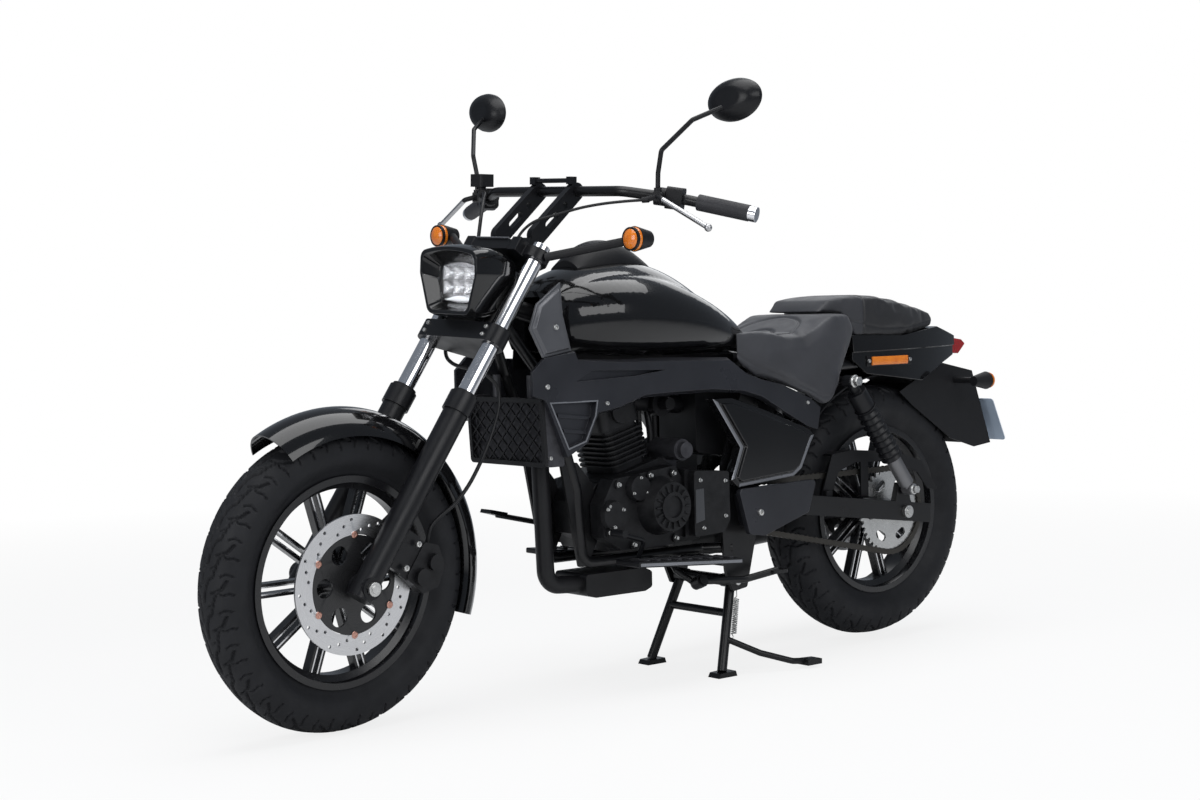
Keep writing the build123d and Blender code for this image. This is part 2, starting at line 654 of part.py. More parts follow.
MIRROR_AT = Vector(113, 388, 1265)
MIRROR_W = 66               # half width of the head
MIRROR_H = 44
with BuildPart() as mirrors:
    bar([MIRROR_FOOT + Vector(0, 0, FIT), MIRROR_FOOT + Vector(0, 0, 30), Vector(231, 298, 1160), Vector(190, 345, 1222),
         MIRROR_AT + Vector(16, -6, -12)], 5, bend=14)
    face = Plane(origin=MIRROR_AT, x_dir=(0, 1, 0.16), z_dir=(1, 0.1, 0.1))
    with BuildSketch(face):
        Ellipse(MIRROR_W, MIRROR_H)
    extrude(amount=-7)
    for reach, share in ((0, 1), (12, 0.88), (25, 0.42)):
        with BuildSketch(face.offset(reach)):
            Ellipse(share * MIRROR_W, share * MIRROR_H)
    loft()
    both_sides()
save("mirrors", mirrors, TURNED)

INDICATOR_AT = Vector(301, 308, 980)
with BuildPart() as front_indicators:
    root = FRONT_AXLE + FORK_Z * (TOP_YOKE[0] + 12) + Vector(0, FORK_HALF + FORK_TUBE_R + 10, 0)
    bar([root, INDICATOR_AT + Vector(-8, -12, 0)], 9)
    with BuildSketch(Plane(origin=INDICATOR_AT + Vector(-26, 0, 0), z_dir=(1, 0, 0))):
        Circle(17)
    with BuildSketch(Plane(origin=INDICATOR_AT + Vector(14, 0, 0), z_dir=(1, 0, 0))):
        Circle(26)
    loft()
    with BuildSketch(Plane(origin=INDICATOR_AT + Vector(14, 0, 0), z_dir=(1, 0, 0))):
        Circle(24)
    extrude(amount=12)
    both_sides()
    add(fork_yokes.part, mode=Mode.SUBTRACT)
save("front_indicators", front_indicators, TURNED)


def cord(points, radius, start_normal, name):
    """A hose along straight runs joined by tangent arcs as large as the runs allow."""
    corners = [Vector(*point) for point in points]
    bends = []
    for before, corner, after in zip(corners, corners[1:], corners[2:]):
        half_turn = radians((corner - before).get_angle(after - corner)) / 2
        bends.append(0.45 * min((corner - before).length, (after - corner).length) / tan(half_turn))
    print(name, "bend radii", [round(bend) for bend in bends])
    with BuildPart() as piece:
        with BuildLine() as route:
            FilletPolyline(*corners, radius=bends)
        with BuildSketch(Plane(origin=corners[0], z_dir=start_normal)) as section:
            Circle(radius)
        sweep(section.sketch, path=route.line)
    length = sum(edge.length for edge in route.line.edges())
    print(name, "volume over section times length", round(piece.part.volume / (pi * radius ** 2 * length), 4))
    return piece


HOSE_R = 4                  # front brake hose, from the master cylinder down to the caliper
CABLE_R = 3                 # clutch cable, from its lever to the guide on the top yoke
HOSE_START = flip(MASTER - BAR_RUN * 50)
HOSE_OUT = flip(BAR_RUN * -1)
HOSE_END = FRONT_AXLE + FORK_N * -101 + FORK_Z * 152.1
HOSE_LAST = HOSE_END + FORK_N * 11.3 + FORK_Z * 32
HOSE_ROUTE = [HOSE_START, HOSE_START + HOSE_OUT * 30, (296, -184, 1062), (324, -158, 1030), (342, -144, 990),
              (358, -133, 945), (384, -123, 900), (414, -117, 856), (442, -112, 806), (464, -106, 762),
              (482, -86, 727), (489, -48, 712), (486, -4, 708), (476, 40, 700), (466, 70, 672), (474, 80, 632),
              (494, 84, 584), (524, 86, 528), (558, 86, 478), (594, 84, 441), (628, 80, 421),
              HOSE_LAST + Vector(0, 78, 0), HOSE_END + Vector(0, 78, 0)]
save("front_brake_hose", cord(HOSE_ROUTE, HOSE_R, HOSE_OUT, "front brake hose"), TURNED)

GUIDE = FRONT_AXLE + FORK_N * 26 + Vector(0, 46, 0) + FORK_Z * TOP_YOKE[1]
CABLE_ROUTE = [CABLE_START, CABLE_NEXT, (286, 190, 1052), (310, 144, 1043), (336, 100, 1028), (372, 68, 1014),
               GUIDE + FORK_Z * 34, GUIDE]
save("clutch_cable", cord(CABLE_ROUTE, CABLE_R, CABLE_OUT, "clutch cable"), TURNED)

# ---------------------------------------------------------------- frame
PLATE_Y = 100               # inside face of the swingarm pivot plates
FRAME_PLATE_T = 8
SWING_PIVOT = Vector(-190, 0, 385)
STAND_PIVOT = Vector(-160, 0, 205)
PIVOT_R = 8
CRADLE_Y = 62
RAIL_R = 12
TANK_REST = 718.9           # top of the tank's rear mount
TUNNEL_HALF = 27            # tunnel of the tank over the backbone
NOSE_HALF = 59.7            # half width of the engine's front lug, between the frame's plates

SIDE_PIVOT = Vector(-28, 130, 222)
SIDE_STOWED = Vector(-1, 0.05, 0.03)        # the leg's direction, folded and put down
SIDE_DOWN = Vector(0.1, 0.38, -0.92)
SIDE_PLANE = Plane(origin=SIDE_PIVOT, z_dir=SIDE_STOWED.cross(SIDE_DOWN).normalized())
SIDE_PIN_R = 5
SIDE_EYE = 16               # width of the stand's eye along its pin
with BuildPart() as frame:
    with BuildSketch(HEAD.offset(LOWER_YOKE[1] + 3)):
        Circle(HEAD_TUBE_R)
    extrude(amount=TOP_YOKE[0] - LOWER_YOKE[1] - 6)
    bar([(412, 0, 844), (230, 0, 790), (-60, 0, 690), (-222, 0, 655)], 20, bend=120)     # backbone
    bar([(424, 22, 812), (352, CRADLE_Y, 690), (300, CRADLE_Y, 560), (262, CRADLE_Y, 440),
         (250, CRADLE_Y, 283), (-90, CRADLE_Y, 283), (-150, PLATE_Y + 2, 283)], RAIL_R, bend=28)
    slab([(-118, 300), (-118, 470), (-196, 668), (-236, 668), (-232, 420), (-232, 350), (-190, 190),
          (-146, 184), (-126, 230)], PLATE_Y, PLATE_Y + FRAME_PLATE_T, round_by=7)
    slab([(306, 500), (262, 500), (222, 452), (206, 400), (210, 330), (240, 276), (262, 276)],
         NOSE_HALF + FIT, NOSE_HALF + FIT + 7, round_by=6)
    both_sides()
    bar([(-216, -PLATE_Y, 655), (-216, PLATE_Y, 655)], 14)
    pin(-150, TANK_REST - 15, -70, 70, 15)              # the tank rests here
    pin(300, 810, -TUNNEL_HALF + FIT, TUNNEL_HALF - FIT, 12)
    bar([(-140, -PLATE_Y, 250), (-140, PLATE_Y, 250)], 10)
    with BuildSketch(SIDE_PLANE.offset(SIDE_EYE / 2 + FIT)):     # lug and pin of the side stand
        Circle(14)
    extrude(amount=12)
    with BuildSketch(SIDE_PLANE.offset(-SIDE_EYE / 2 - 6)):
        Circle(SIDE_PIN_R)
    extrude(amount=SIDE_EYE + 18)
    with BuildSketch(SIDE_PLANE.offset(-SIDE_EYE / 2 - FIT)):
        Circle(10)
    extrude(amount=-5)
    bar([SIDE_PIVOT + SIDE_PLANE.z_dir * (SIDE_EYE / 2 + 12), (4, 84, 246), (10, 64, 278)], 7)
    with BuildSketch(HEAD.offset(LOWER_YOKE[1])):
        Circle(STEM_R + PIN_FIT)
    extrude(amount=TOP_YOKE[0] - LOWER_YOKE[1], mode=Mode.SUBTRACT)
    for pivot in (SWING_PIVOT, STAND_PIVOT):
        pin(pivot.X, pivot.Z, -PLATE_Y - 20, PLATE_Y + 20, PIVOT_R + PIN_FIT, mode=Mode.SUBTRACT)
save("frame", frame)

SHOCK_TOP = Vector(-483, 158, 644)
SHOCK_LOW = Vector(-681, 158, 378)
BRACE_Y = (104, 90)         # rear brace at its front and back ends
BRACE_R = 10
COWL_CEILING = 724          # the tail cowl rests on the rear rails' bracket
with BuildPart() as rear_subframe:
    bar([(-231, 84, SEAT_BASE - 40), (-430, 84, SEAT_BASE - 18.4), (REAR - 190, 56, SEAT_BASE + 5.6)], 12, bend=200)
    bar([(-246, BRACE_Y[0], 500), (-462, BRACE_Y[1], 646)], BRACE_R)
    pin(SHOCK_TOP.X, SHOCK_TOP.Z, 84, SHOCK_TOP.Y + 22, 8)
    pin(SHOCK_TOP.X, SHOCK_TOP.Z, 84, SHOCK_TOP.Y - 15, 11)
    slab([(-506, 674), (-462, 672), (-466, 632), (-498, 632)], 82, 92)
    both_sides()
    bar([(-476, -80, SEAT_BASE - FIT - 9), (-476, 80, SEAT_BASE - FIT - 9)], 9)
    bar([(REAR - 110, -60, SEAT_BASE + 2), (REAR - 110, 60, SEAT_BASE + 2)], 9)
    slab([(REAR - 118, SEAT_BASE), (REAR - 118, COWL_CEILING - FIT), (REAR - 102, COWL_CEILING - FIT),
          (REAR - 102, SEAT_BASE)], -30, 30)
save("rear_subframe", rear_subframe)

ARM_Y = 125
ARM_T = 26
ARM_H = 46
ARM_END = -780


def arm_z(x):
    """Height of the swingarm's middle line."""
    drop = (REAR_AXLE.Z - SWING_PIVOT.Z) / (REAR_AXLE.X - SWING_PIVOT.X)
    return SWING_PIVOT.Z + drop * (x - SWING_PIVOT.X)


with BuildPart() as swingarm:
    slab([(-252, arm_z(-252) + ARM_H / 2), (-252, arm_z(-252) - ARM_H / 2),
          (ARM_END, arm_z(ARM_END) - ARM_H / 2), (ARM_END, arm_z(ARM_END) + ARM_H / 2)],
         ARM_Y - ARM_T / 2, ARM_Y + ARM_T / 2)
    slab([(-180, 400), (-180, 370), (-300, arm_z(-300) - 16), (-300, arm_z(-300) + 16)], 44, 72)
    pin(SHOCK_LOW.X, SHOCK_LOW.Z, ARM_Y + ARM_T / 2, SHOCK_LOW.Y + 22, 8)
    slab([(-655, arm_z(-655) + ARM_H / 2 - 1), (-709, arm_z(-709) + ARM_H / 2 - 1), (-696, SHOCK_LOW.Z + 14),
          (-668, SHOCK_LOW.Z + 14)], ARM_Y - 4, ARM_Y + ARM_T / 2)
    both_sides()
    slab([(-252, arm_z(-252) + 20), (-252, arm_z(-252) - 20), (-326, arm_z(-326) - 20),
          (-326, arm_z(-326) + 20)], -ARM_Y, ARM_Y)
    pin(SWING_PIVOT.X, SWING_PIVOT.Z, -PLATE_Y + FIT, PLATE_Y - FIT, 21)
    pin(SWING_PIVOT.X, SWING_PIVOT.Z, -PLATE_Y, PLATE_Y, PIVOT_R + PIN_FIT, mode=Mode.SUBTRACT)
    pin(REAR_AXLE.X, REAR_AXLE.Z, -200, 200, AXLE_R + FIT / 2, mode=Mode.SUBTRACT)
save("swingarm", swingarm)

with BuildPart() as pivot_bolts:
    for pivot in (SWING_PIVOT, STAND_PIVOT):
        pin(pivot.X, pivot.Z, -PLATE_Y - 12, PLATE_Y + 12, PIVOT_R)
save("pivot_bolts", pivot_bolts)

REAR_AXLE_END = 154
with BuildPart() as rear_axle:
    pin(REAR_AXLE.X, REAR_AXLE.Z, -REAR_AXLE_END, REAR_AXLE_END, AXLE_R)
    for y_from, y_to in ((ARM_Y + ARM_T / 2 + FIT, ARM_Y + ARM_T / 2 + 11),
                         (CHAIN_Y + SPROCKET_T / 2 + 1, ARM_Y - ARM_T / 2 - FIT)):
        pin(REAR_AXLE.X, REAR_AXLE.Z, y_from, y_to, 15)
        pin(REAR_AXLE.X, REAR_AXLE.Z, -y_to, -y_from, 15)
save("rear_axle", rear_axle)

SHOCK_AXIS = (SHOCK_TOP - SHOCK_LOW).normalized()
SHOCK_LENGTH = (SHOCK_TOP - SHOCK_LOW).length
SHOCK_PLANE = Plane(origin=SHOCK_LOW, x_dir=(0, 1, 0), z_dir=SHOCK_AXIS)
with BuildPart() as rear_shocks:
    for low, high, radius in ((0, 18, 12), (18, 100, 18), (100, 290, 13), (252, 300, 24),
                              (300, SHOCK_LENGTH, 12)):
        with BuildSketch(SHOCK_PLANE.offset(low)):
            Circle(radius)
        extrude(amount=high - low)
    for eye in (SHOCK_TOP, SHOCK_LOW):
        pin(eye.X, eye.Z, eye.Y - 14, eye.Y + 14, 14)
        pin(eye.X, eye.Z, eye.Y - 30, eye.Y + 30, 8 + FIT / 2, mode=Mode.SUBTRACT)
    both_sides()
save("rear_shocks", rear_shocks)

COILS = 9
with BuildPart() as shock_springs:
    low, high, inside, outside = 101, 251, 18.5, 27
    step = (high - low) / COILS
    with BuildSketch(Plane(origin=SHOCK_LOW, x_dir=(0, 1, 0), z_dir=Vector(0, 1, 0).cross(SHOCK_AXIS))):
        with BuildLine():
            edge = [(outside - (i % 2) * 5, low + i * step / 2) for i in range(2 * COILS + 1)]
            Polyline((inside, low), *edge, (inside, high), close=True)
        make_face()
    revolve(axis=Axis(SHOCK_LOW, SHOCK_AXIS))
    both_sides()
save("shock_springs", shock_springs)

# ---------------------------------------------------------------- engine
CASE_HALF = 95
CASE_LEFT = 70              # the chain runs outside the case's left wall
BORE_LEAN = 15              # degrees the cylinder leans forward
CYLINDER_FOOT = Vector(100, 0, 478)
FINS = 7
COVER_T = 42



def deck_z(x):
    """Height of the tilted deck that the cylinder stands on."""
    return CYLINDER_FOOT.Z - (x - CYLINDER_FOOT.X) * tan(radians(BORE_LEAN))


CASE_OUTLINE = [(196, 330), (202, 410), (188, deck_z(188)), (30, deck_z(30)), (-40, 455), (-104, 452),
                (-110, 350), (-80, 306), (180, 302)]
with BuildPart() as engine_crankcase:
    slab(CASE_OUTLINE, -CASE_HALF, CASE_LEFT)
    slab([(180, 320), (226, 340), (232, 410), (206, 450), (180, deck_z(180) - 2)], -NOSE_HALF, NOSE_HALF)
    pin(OUTPUT_SHAFT.X, OUTPUT_SHAFT.Z, CASE_LEFT, CHAIN_Y + 8, 12)
    with BuildSketch(along_y(OUTPUT_SHAFT.X, OUTPUT_SHAFT.Z, CHAIN_Y + SPROCKET_T / 2)):
        Circle(pitch_radius(FRONT_TEETH) - ROLLER_R)
    extrude(amount=SPROCKET_T)
save("engine_crankcase", engine_crankcase)

BORE_UP = Vector(sin(radians(BORE_LEAN)), 0, cos(radians(BORE_LEAN)))
BORE = Plane(origin=CYLINDER_FOOT, x_dir=(cos(radians(BORE_LEAN)), 0, -sin(radians(BORE_LEAN))), z_dir=BORE_UP)
BARREL_H = 92
HEAD_H = 66
with BuildPart() as engine_cylinder:
    with BuildSketch(BORE.offset(FIT)):
        RectangleRounded(96, 108, 18)
    extrude(amount=BARREL_H + 4)
    for fin in range(FINS):
        with BuildSketch(BORE.offset(16 + fin * (BARREL_H - 16) / FINS)):
            RectangleRounded(116, 128, 22)
        extrude(amount=4)
    with BuildSketch(BORE.offset(4 + BARREL_H)):
        RectangleRounded(112, 118, 20)
    extrude(amount=HEAD_H)
    with BuildSketch(BORE.offset(4 + BARREL_H + HEAD_H)):
        RectangleRounded(98, 104, 16)
    extrude(amount=30)
    chamfer(engine_cylinder.faces().sort_by(Axis((0, 0, 0), BORE_UP))[-1].edges(), 7)
    for y_from, y_to in ((56, 68), (-68, -56)):         # round cam covers on both sides
        with BuildSketch(Plane(origin=BORE.origin + BORE_UP * (BARREL_H + 38) + Vector(0, y_to, 0),
                               x_dir=(1, 0, 0), z_dir=(0, -1, 0))):
            Circle(27)
        extrude(amount=y_to - y_from)
save("engine_cylinder", engine_cylinder)

FLYWHEEL = Vector(72, 0, 396)
COVER_RIBS = 16
COVER_BOSSES = [(216, 350), (219, 406), (190, 450), (100, 464), (34, 464), (150, 318), (30, 322)]   # x, z
with BuildPart() as left_engine_cover:
    slab([(230, 340), (232, 408), (200, 462), (24, 480), (-2, 440), (-2, 330), (20, 308), (180, 308)],
         CASE_LEFT + FIT, CASE_LEFT + COVER_T, round_by=9)
    with BuildSketch(along_y(FLYWHEEL.X, FLYWHEEL.Z, CASE_LEFT + COVER_T)) as dome:
        Circle(64)
    extrude(amount=-44, taper=14)
    with BuildSketch(along_y(FLYWHEEL.X, FLYWHEEL.Z, CASE_LEFT + COVER_T + 44)):
        Circle(32)
        Circle(24, mode=Mode.SUBTRACT)
        with PolarLocations(41, COVER_RIBS):
            Rectangle(14, 3)
    extrude(amount=-5)
    with BuildSketch(along_y(0, 0, CASE_LEFT + COVER_T)):
        with Locations(*COVER_BOSSES):
            Circle(9)
    extrude(amount=-6)
    with BuildSketch(along_y(138, 440, CASE_LEFT + COVER_T)):
        Circle(30)
    extrude(amount=-18, taper=10)
    with BuildSketch(along_y(206, 386, CASE_LEFT + COVER_T)):
        Circle(32)
    extrude(amount=-12, taper=12)
    slab([(-4, 468), (-108, 460), (-110, 352), (-92, 326), (-4, 322)], PLATE_Y - 4, PLATE_Y - 4 + 46, round_by=8)
    slab([(6, 470), (-8, 470), (-8, 322), (6, 322)], PLATE_Y - 4, CASE_LEFT + COVER_T + 10)
save("left_engine_cover", left_engine_cover)

CLUTCH = Vector(20, 0, 396)
with BuildPart() as right_engine_cover:
    slab([(198, 340), (200, 408), (180, 450), (20, 474), (-70, 448), (-100, 380), (-70, 316), (180, 308)],
         -CASE_HALF - 26, -CASE_HALF - FIT, round_by=9)
    with BuildSketch(along_y(CLUTCH.X, CLUTCH.Z, -CASE_HALF - 26)):
        Circle(74)
    extrude(amount=26, taper=12)
    with BuildSketch(along_y(152, 392, -CASE_HALF - 26)):
        Circle(40)
    extrude(amount=14, taper=12)
save("right_engine_cover", right_engine_cover)

with BuildPart() as starter_motor:
    pin(-6, 512, -10, 104, 24)
    pin(-6, 512, 104, 118, 18)
    slab([(-26, 470), (14, 480), (14, 512), (-26, 512)], -6, 60)
    add(engine_crankcase.part, mode=Mode.SUBTRACT)
save("starter_motor", starter_motor)

with BuildPart() as intake:
    bar([(72, 0, 622), (-10, 0, 612), (-84, 0, 606)], 21, bend=120)
    pin(-10, 612, -34, 34, 28)
    pin(-10, 612, 34, 62, 14)
    slab([(-84, 640), (-84, 500), (-210, 480), (-330, 500), (-330, 610), (-210, 636)], -62, 62, round_by=12)
save("intake", intake)

# ---------------------------------------------------------------- cooling
SHROUD_Y = (132, 160)        # inside and outside of the side shrouds
RADIATOR_X = 392
RADIATOR_Z = (505, 640)
RADIATOR_HALF = SHROUD_Y[0] - FIT
RADIATOR_T = 34
GRILLE_BARS = 13
with BuildPart() as radiator:
    slab([(RADIATOR_X, RADIATOR_Z[1]), (RADIATOR_X - RADIATOR_T, RADIATOR_Z[1]),
          (RADIATOR_X - RADIATOR_T - 8, RADIATOR_Z[0]), (RADIATOR_X - 8, RADIATOR_Z[0])],
         -RADIATOR_HALF + 22, RADIATOR_HALF - 22)
    slab([(RADIATOR_X + 4, RADIATOR_Z[1] + 6), (RADIATOR_X - RADIATOR_T - 4, RADIATOR_Z[1] + 6),
          (RADIATOR_X - RADIATOR_T - 12, RADIATOR_Z[0] - 4), (RADIATOR_X - 4, RADIATOR_Z[0] - 4)],
         RADIATOR_HALF - 22, RADIATOR_HALF, round_by=6)
    bar([(RADIATOR_X - RADIATOR_T / 2, 60, RADIATOR_Z[1] - 4), (RADIATOR_X - RADIATOR_T / 2, 60, 690)], 9)
    both_sides()
save("radiator", radiator)

GUARD_BACK = RADIATOR_X + FIT
with BuildPart() as radiator_guard:
    lean = Plane(origin=(GUARD_BACK, 0, sum(RADIATOR_Z) / 2), x_dir=(0, 1, 0), z_dir=(1, 0, -0.06))
    tall = RADIATOR_Z[1] - RADIATOR_Z[0] + 8
    with BuildSketch(lean):
        RectangleRounded(2 * RADIATOR_HALF, tall, 10)
        RectangleRounded(2 * RADIATOR_HALF - 20, tall - 20, 6, mode=Mode.SUBTRACT)
    extrude(amount=8)
    with BuildSketch(lean.offset(2)):
        with BuildSketch(mode=Mode.PRIVATE) as lattice:
            for turn in (42, -42):
                with Locations(Location((0, 0, 0), (0, 0, turn))):
                    with GridLocations(0, 24, 1, GRILLE_BARS):
                        Rectangle(420, 3)
        add(lattice.sketch)
        RectangleRounded(2 * RADIATOR_HALF - 12, tall - 12, 8, mode=Mode.INTERSECT)
    extrude(amount=4)
save("radiator_guard", radiator_guard)

# ---------------------------------------------------------------- tank and bodywork
TANK_SECTIONS = [   # x, half foot, foot z, widest half, widest z, half shoulder, shoulder z, top z
    (322, 74, 742, 92, 800, 70, 850, 866),
    (284, 92, 734, 128, 802, 88, 872, 896),
    (200, 110, 727, 158, 800, 98, 892, 924),
    (80, 118, 723, 164, 794, 102, 892, 930),
    (-60, 108, 722, 148, 776, 84, 854, 888),
    (-190, 76, 718, 102, 752, 52, 788, 806),
    (-262, 46, 712, 60, 732, 34, 744, 756),
]


def tank_section(x, foot, foot_z, wide, wide_z, shoulder, shoulder_z, top_z):
    """One cross section of the tank: flat foot, bulging sides and a crowned top, in arcs."""
    with BuildSketch(across(x)) as section:
        with BuildLine():
            Line((-foot, foot_z), (foot, foot_z))
            ThreePointArc((foot, foot_z), (wide, wide_z), (shoulder, shoulder_z))
            ThreePointArc((shoulder, shoulder_z), (0, top_z), (-shoulder, shoulder_z))
            ThreePointArc((-shoulder, shoulder_z), (-wide, wide_z), (-foot, foot_z))
        make_face()
    return section.sketch


with BuildPart() as fuel_tank:
    loft([tank_section(*row) for row in TANK_SECTIONS])
    slab([(330, 700), (330, 856), (240, 822), (-120, 700)], -TUNNEL_HALF, TUNNEL_HALF, mode=Mode.SUBTRACT)
save("fuel_tank", fuel_tank)

CONSOLE_SECTIONS = [    # x, half width, foot z, top z
    (232, 46, 905, 930),
    (170, 56, 914, 970),
    (110, 54, 914, 972),
    (20, 40, 900, 928),
]
with BuildPart() as tank_console:
    sections = []
    for x, half, foot_z, top_z in CONSOLE_SECTIONS:
        with BuildSketch(across(x), mode=Mode.PRIVATE) as section:
            with BuildLine():
                Line((-half, foot_z), (half, foot_z))
                Line((half, foot_z), (half, foot_z + 8))
                ThreePointArc((half, foot_z + 8), (0, top_z), (-half, foot_z + 8))
                Line((-half, foot_z + 8), (-half, foot_z))
            make_face()
        sections.append(section.sketch)
    loft(sections)
    add(fuel_tank.part, mode=Mode.SUBTRACT)
save("tank_console", tank_console)

SHROUD_BAND = [(430, 650), (400, 640), (350, 520), (298, 545), (268, 606),
               (214, 613), (146, 634), (74, 636), (-44, 638), (-144, 632), (-204, 618), (-362, 545), (-400, 536),
               (-412, 586), (-372, 610), (-270, 646), (-208, 660), (-160, 676), (-104, 712), (74, 718),
               (214, 718), (318, 722), (326, 739), (400, 727), (430, 700)]
NECK_BAND = [(326, 739), (400, 727), (433, 788), (414, 838), (352, 882), (347, 815)]
SHROUD_PLAN = [(440, 138), (20, 163), (-412, 131)]      # x, half width outside
SHROUD_WALL = [(440, SHROUD_Y[0]), (340, SHROUD_Y[0]), (200, 138), (-100, 138), (-412, 112)]    # and inside
BEVEL_Y = 146               # the outer edges slope in from here
SCOOP = [(386, 632), (346, 540), (306, 553), (281, 604), (276, 632)]
SCOOP_FINS = [[(372, 612), (288, 602), (288, 595), (369, 604)], [(358, 580), (298, 572), (298, 565), (355, 572)]]
SCOOP_FLOOR = 139
with BuildPart() as side_shrouds:
    slab(SHROUD_BAND, 100, BEVEL_Y)
    extrude(face_on(along_y(0, 0, BEVEL_Y), SHROUD_BAND), amount=-20, taper=24)
    with BuildSketch(Plane.XY.offset(500)) as plan:
        with BuildLine():
            outside = ThreePointArc(*SHROUD_PLAN)
            Polyline(outside @ 0, *SHROUD_WALL, outside @ 1)
        make_face()
    extrude(plan.sketch, amount=300, mode=Mode.INTERSECT)
    slab([(325, 676), (284, 698), (88, 692), (176, 682)], 147, 180, mode=Mode.SUBTRACT)     # vent slit
    slab(SCOOP, SCOOP_FLOOR, 180, mode=Mode.SUBTRACT)
    for fin in SCOOP_FINS:
        slab(fin, SCOOP_FLOOR, SCOOP_FLOOR + 5)
    both_sides()
save("side_shrouds", side_shrouds)

NECK_Y = 131                # inside of the neck covers, outside the sweep of the fork
with BuildPart() as neck_covers:
    raised = [(x, z + FIT) if z < 740 else (x, z) for x, z in NECK_BAND]
    slab(raised, NECK_Y, NECK_Y + 7)
    extrude(face_on(along_y(0, 0, NECK_Y + 7), raised, 6), amount=-6, taper=30)
    both_sides()
save("neck_covers", neck_covers)

SIDE_COVER = [(-60, 622), (-118, 622), (-196, 598), (-356, 541), (-374, 526), (-362, 508), (-331, 451),
              (-305, 435), (-133, 422), (-112, 440), (-141, 510)]
COVER_BORDER = 11
with BuildPart() as side_covers:
    slab(SIDE_COVER, 120, 146)
    extrude(face_on(along_y(0, 0, 146), SIDE_COVER, COVER_BORDER), amount=-7, taper=20)
    pin(-170, 500, PLATE_Y + FRAME_PLATE_T + FIT, 120, 8)
    pin(-300, 536, BRACE_Y[0] + BRACE_R, 120, 8)
    both_sides()
save("side_covers", side_covers)

with BuildPart() as pivot_covers:
    slab([(-127, 418), (-372, 424), (-345, 350), (-204, 308), (-158, 315)], 140, 154, round_by=10)
    slab([(-150, 404), (-220, 404), (-220, 340), (-170, 330)], PLATE_Y + FRAME_PLATE_T + FIT, 140)
    pin(SWING_PIVOT.X, SWING_PIVOT.Z, PLATE_Y, PLATE_Y + 20, PIVOT_R + 2, mode=Mode.SUBTRACT)
    both_sides()
save("pivot_covers", pivot_covers)

# Seats: plain closed solids for the padded parts
SEAT_PLAN = [[(-108, 121), (-250, 136), (-390, 142)], [(-390, 142), (-480, 138), (-546, 116)]]
RIDER_SIDE = [(-108, 765), (-230, 766), (-300, 754), (-350, 754), (-400, 776), (-450, 799), (-512, 800),
              (-545, 765), (-530, 735), (-438, 603), (-414, 592), (-371, 614), (-269, 650), (-206, 664),
              (-176, 684), (-120, 730)]
TANK_ROOM = [(-80, 152), (-190, 110), (-262, 70), (-286, 50)]       # the seat's nose wraps the tank's tail
rider_form = shaped(RIDER_SIDE, SEAT_PLAN)
with BuildPart() as rider_seat:
    add(rider_form.part)
    extrude(face_on(Plane.XY.offset(640), TANK_ROOM + [(x, -y) for x, y in TANK_ROOM[::-1]]), amount=200,
            mode=Mode.SUBTRACT)
    slab([(-100, SEAT_BASE), (-600, SEAT_BASE), (-600, 590), (-100, 590)], -120, 120, mode=Mode.SUBTRACT)
save("rider_seat", rider_seat)

COWL_TOP = [(-560, 749), (REAR - 30, 744), (REAR - 174, 763)]       # the passenger's seat rests along this line
PASSENGER_PLAN = [[(-452, 84), (-640, 110), (REAR - 184, 72)]]
PASSENGER_SIDE = [(-452, 804), (-486, 834), (-560, 842), (-640, 837), (-720, 825), (REAR - 168, 797),
                  (REAR - 184, 782), *[(x, z + FIT) for x, z in COWL_TOP[::-1]], (-549, 770), (-519, 804)]
passenger_seat = shaped(PASSENGER_SIDE, PASSENGER_PLAN)
save("passenger_seat", passenger_seat)

LAMP_X = REAR - 268         # where the tail lamp meets the cowl
COWL_SEAM = [(-556, 708), (LAMP_X, 714)]                # between its upper and lower panels
COWL_UNDER = [(REAR - 110, 632), (REAR - 210, 672)]     # the rear mudguard hangs from this line
COWL_PLAN = [[(-552, 101), (-740, 109), (LAMP_X, 66)]]
COWL_STEP = 5               # the lower panel is set in
COWL_WALL = 8
upper_cowl = shaped([(-552, 750), *COWL_TOP, (LAMP_X, 738), *COWL_SEAM[::-1]], COWL_PLAN)
lower_cowl = shaped([*COWL_SEAM, (LAMP_X, 690), *COWL_UNDER[::-1], (-600, 656), (-556, 690)],
                    COWL_PLAN, COWL_STEP)
cowl_room = shaped([(-540, COWL_CEILING), (REAR - 225, COWL_CEILING), (REAR - 205, 650), (REAR - 110, 600), (-540, 600)],
                   COWL_PLAN, COWL_STEP + COWL_WALL)
with BuildPart() as tail_cowl:
    add(upper_cowl.part)
    add(lower_cowl.part)
    add(cowl_room.part, mode=Mode.SUBTRACT)
    slab([(-545, 720), (-575, 720), (-575, 640), (-545, 640)], -88, 88, mode=Mode.SUBTRACT)
save("tail_cowl", tail_cowl)

with BuildPart() as tail_lamp:
    slab([(LAMP_X - FIT, 732), (LAMP_X - 36, 727), (LAMP_X - 50, 716), (LAMP_X - 24, 692), (LAMP_X - FIT, 694)],
         -58, 58, round_by=3)
save("tail_lamp", tail_lamp)

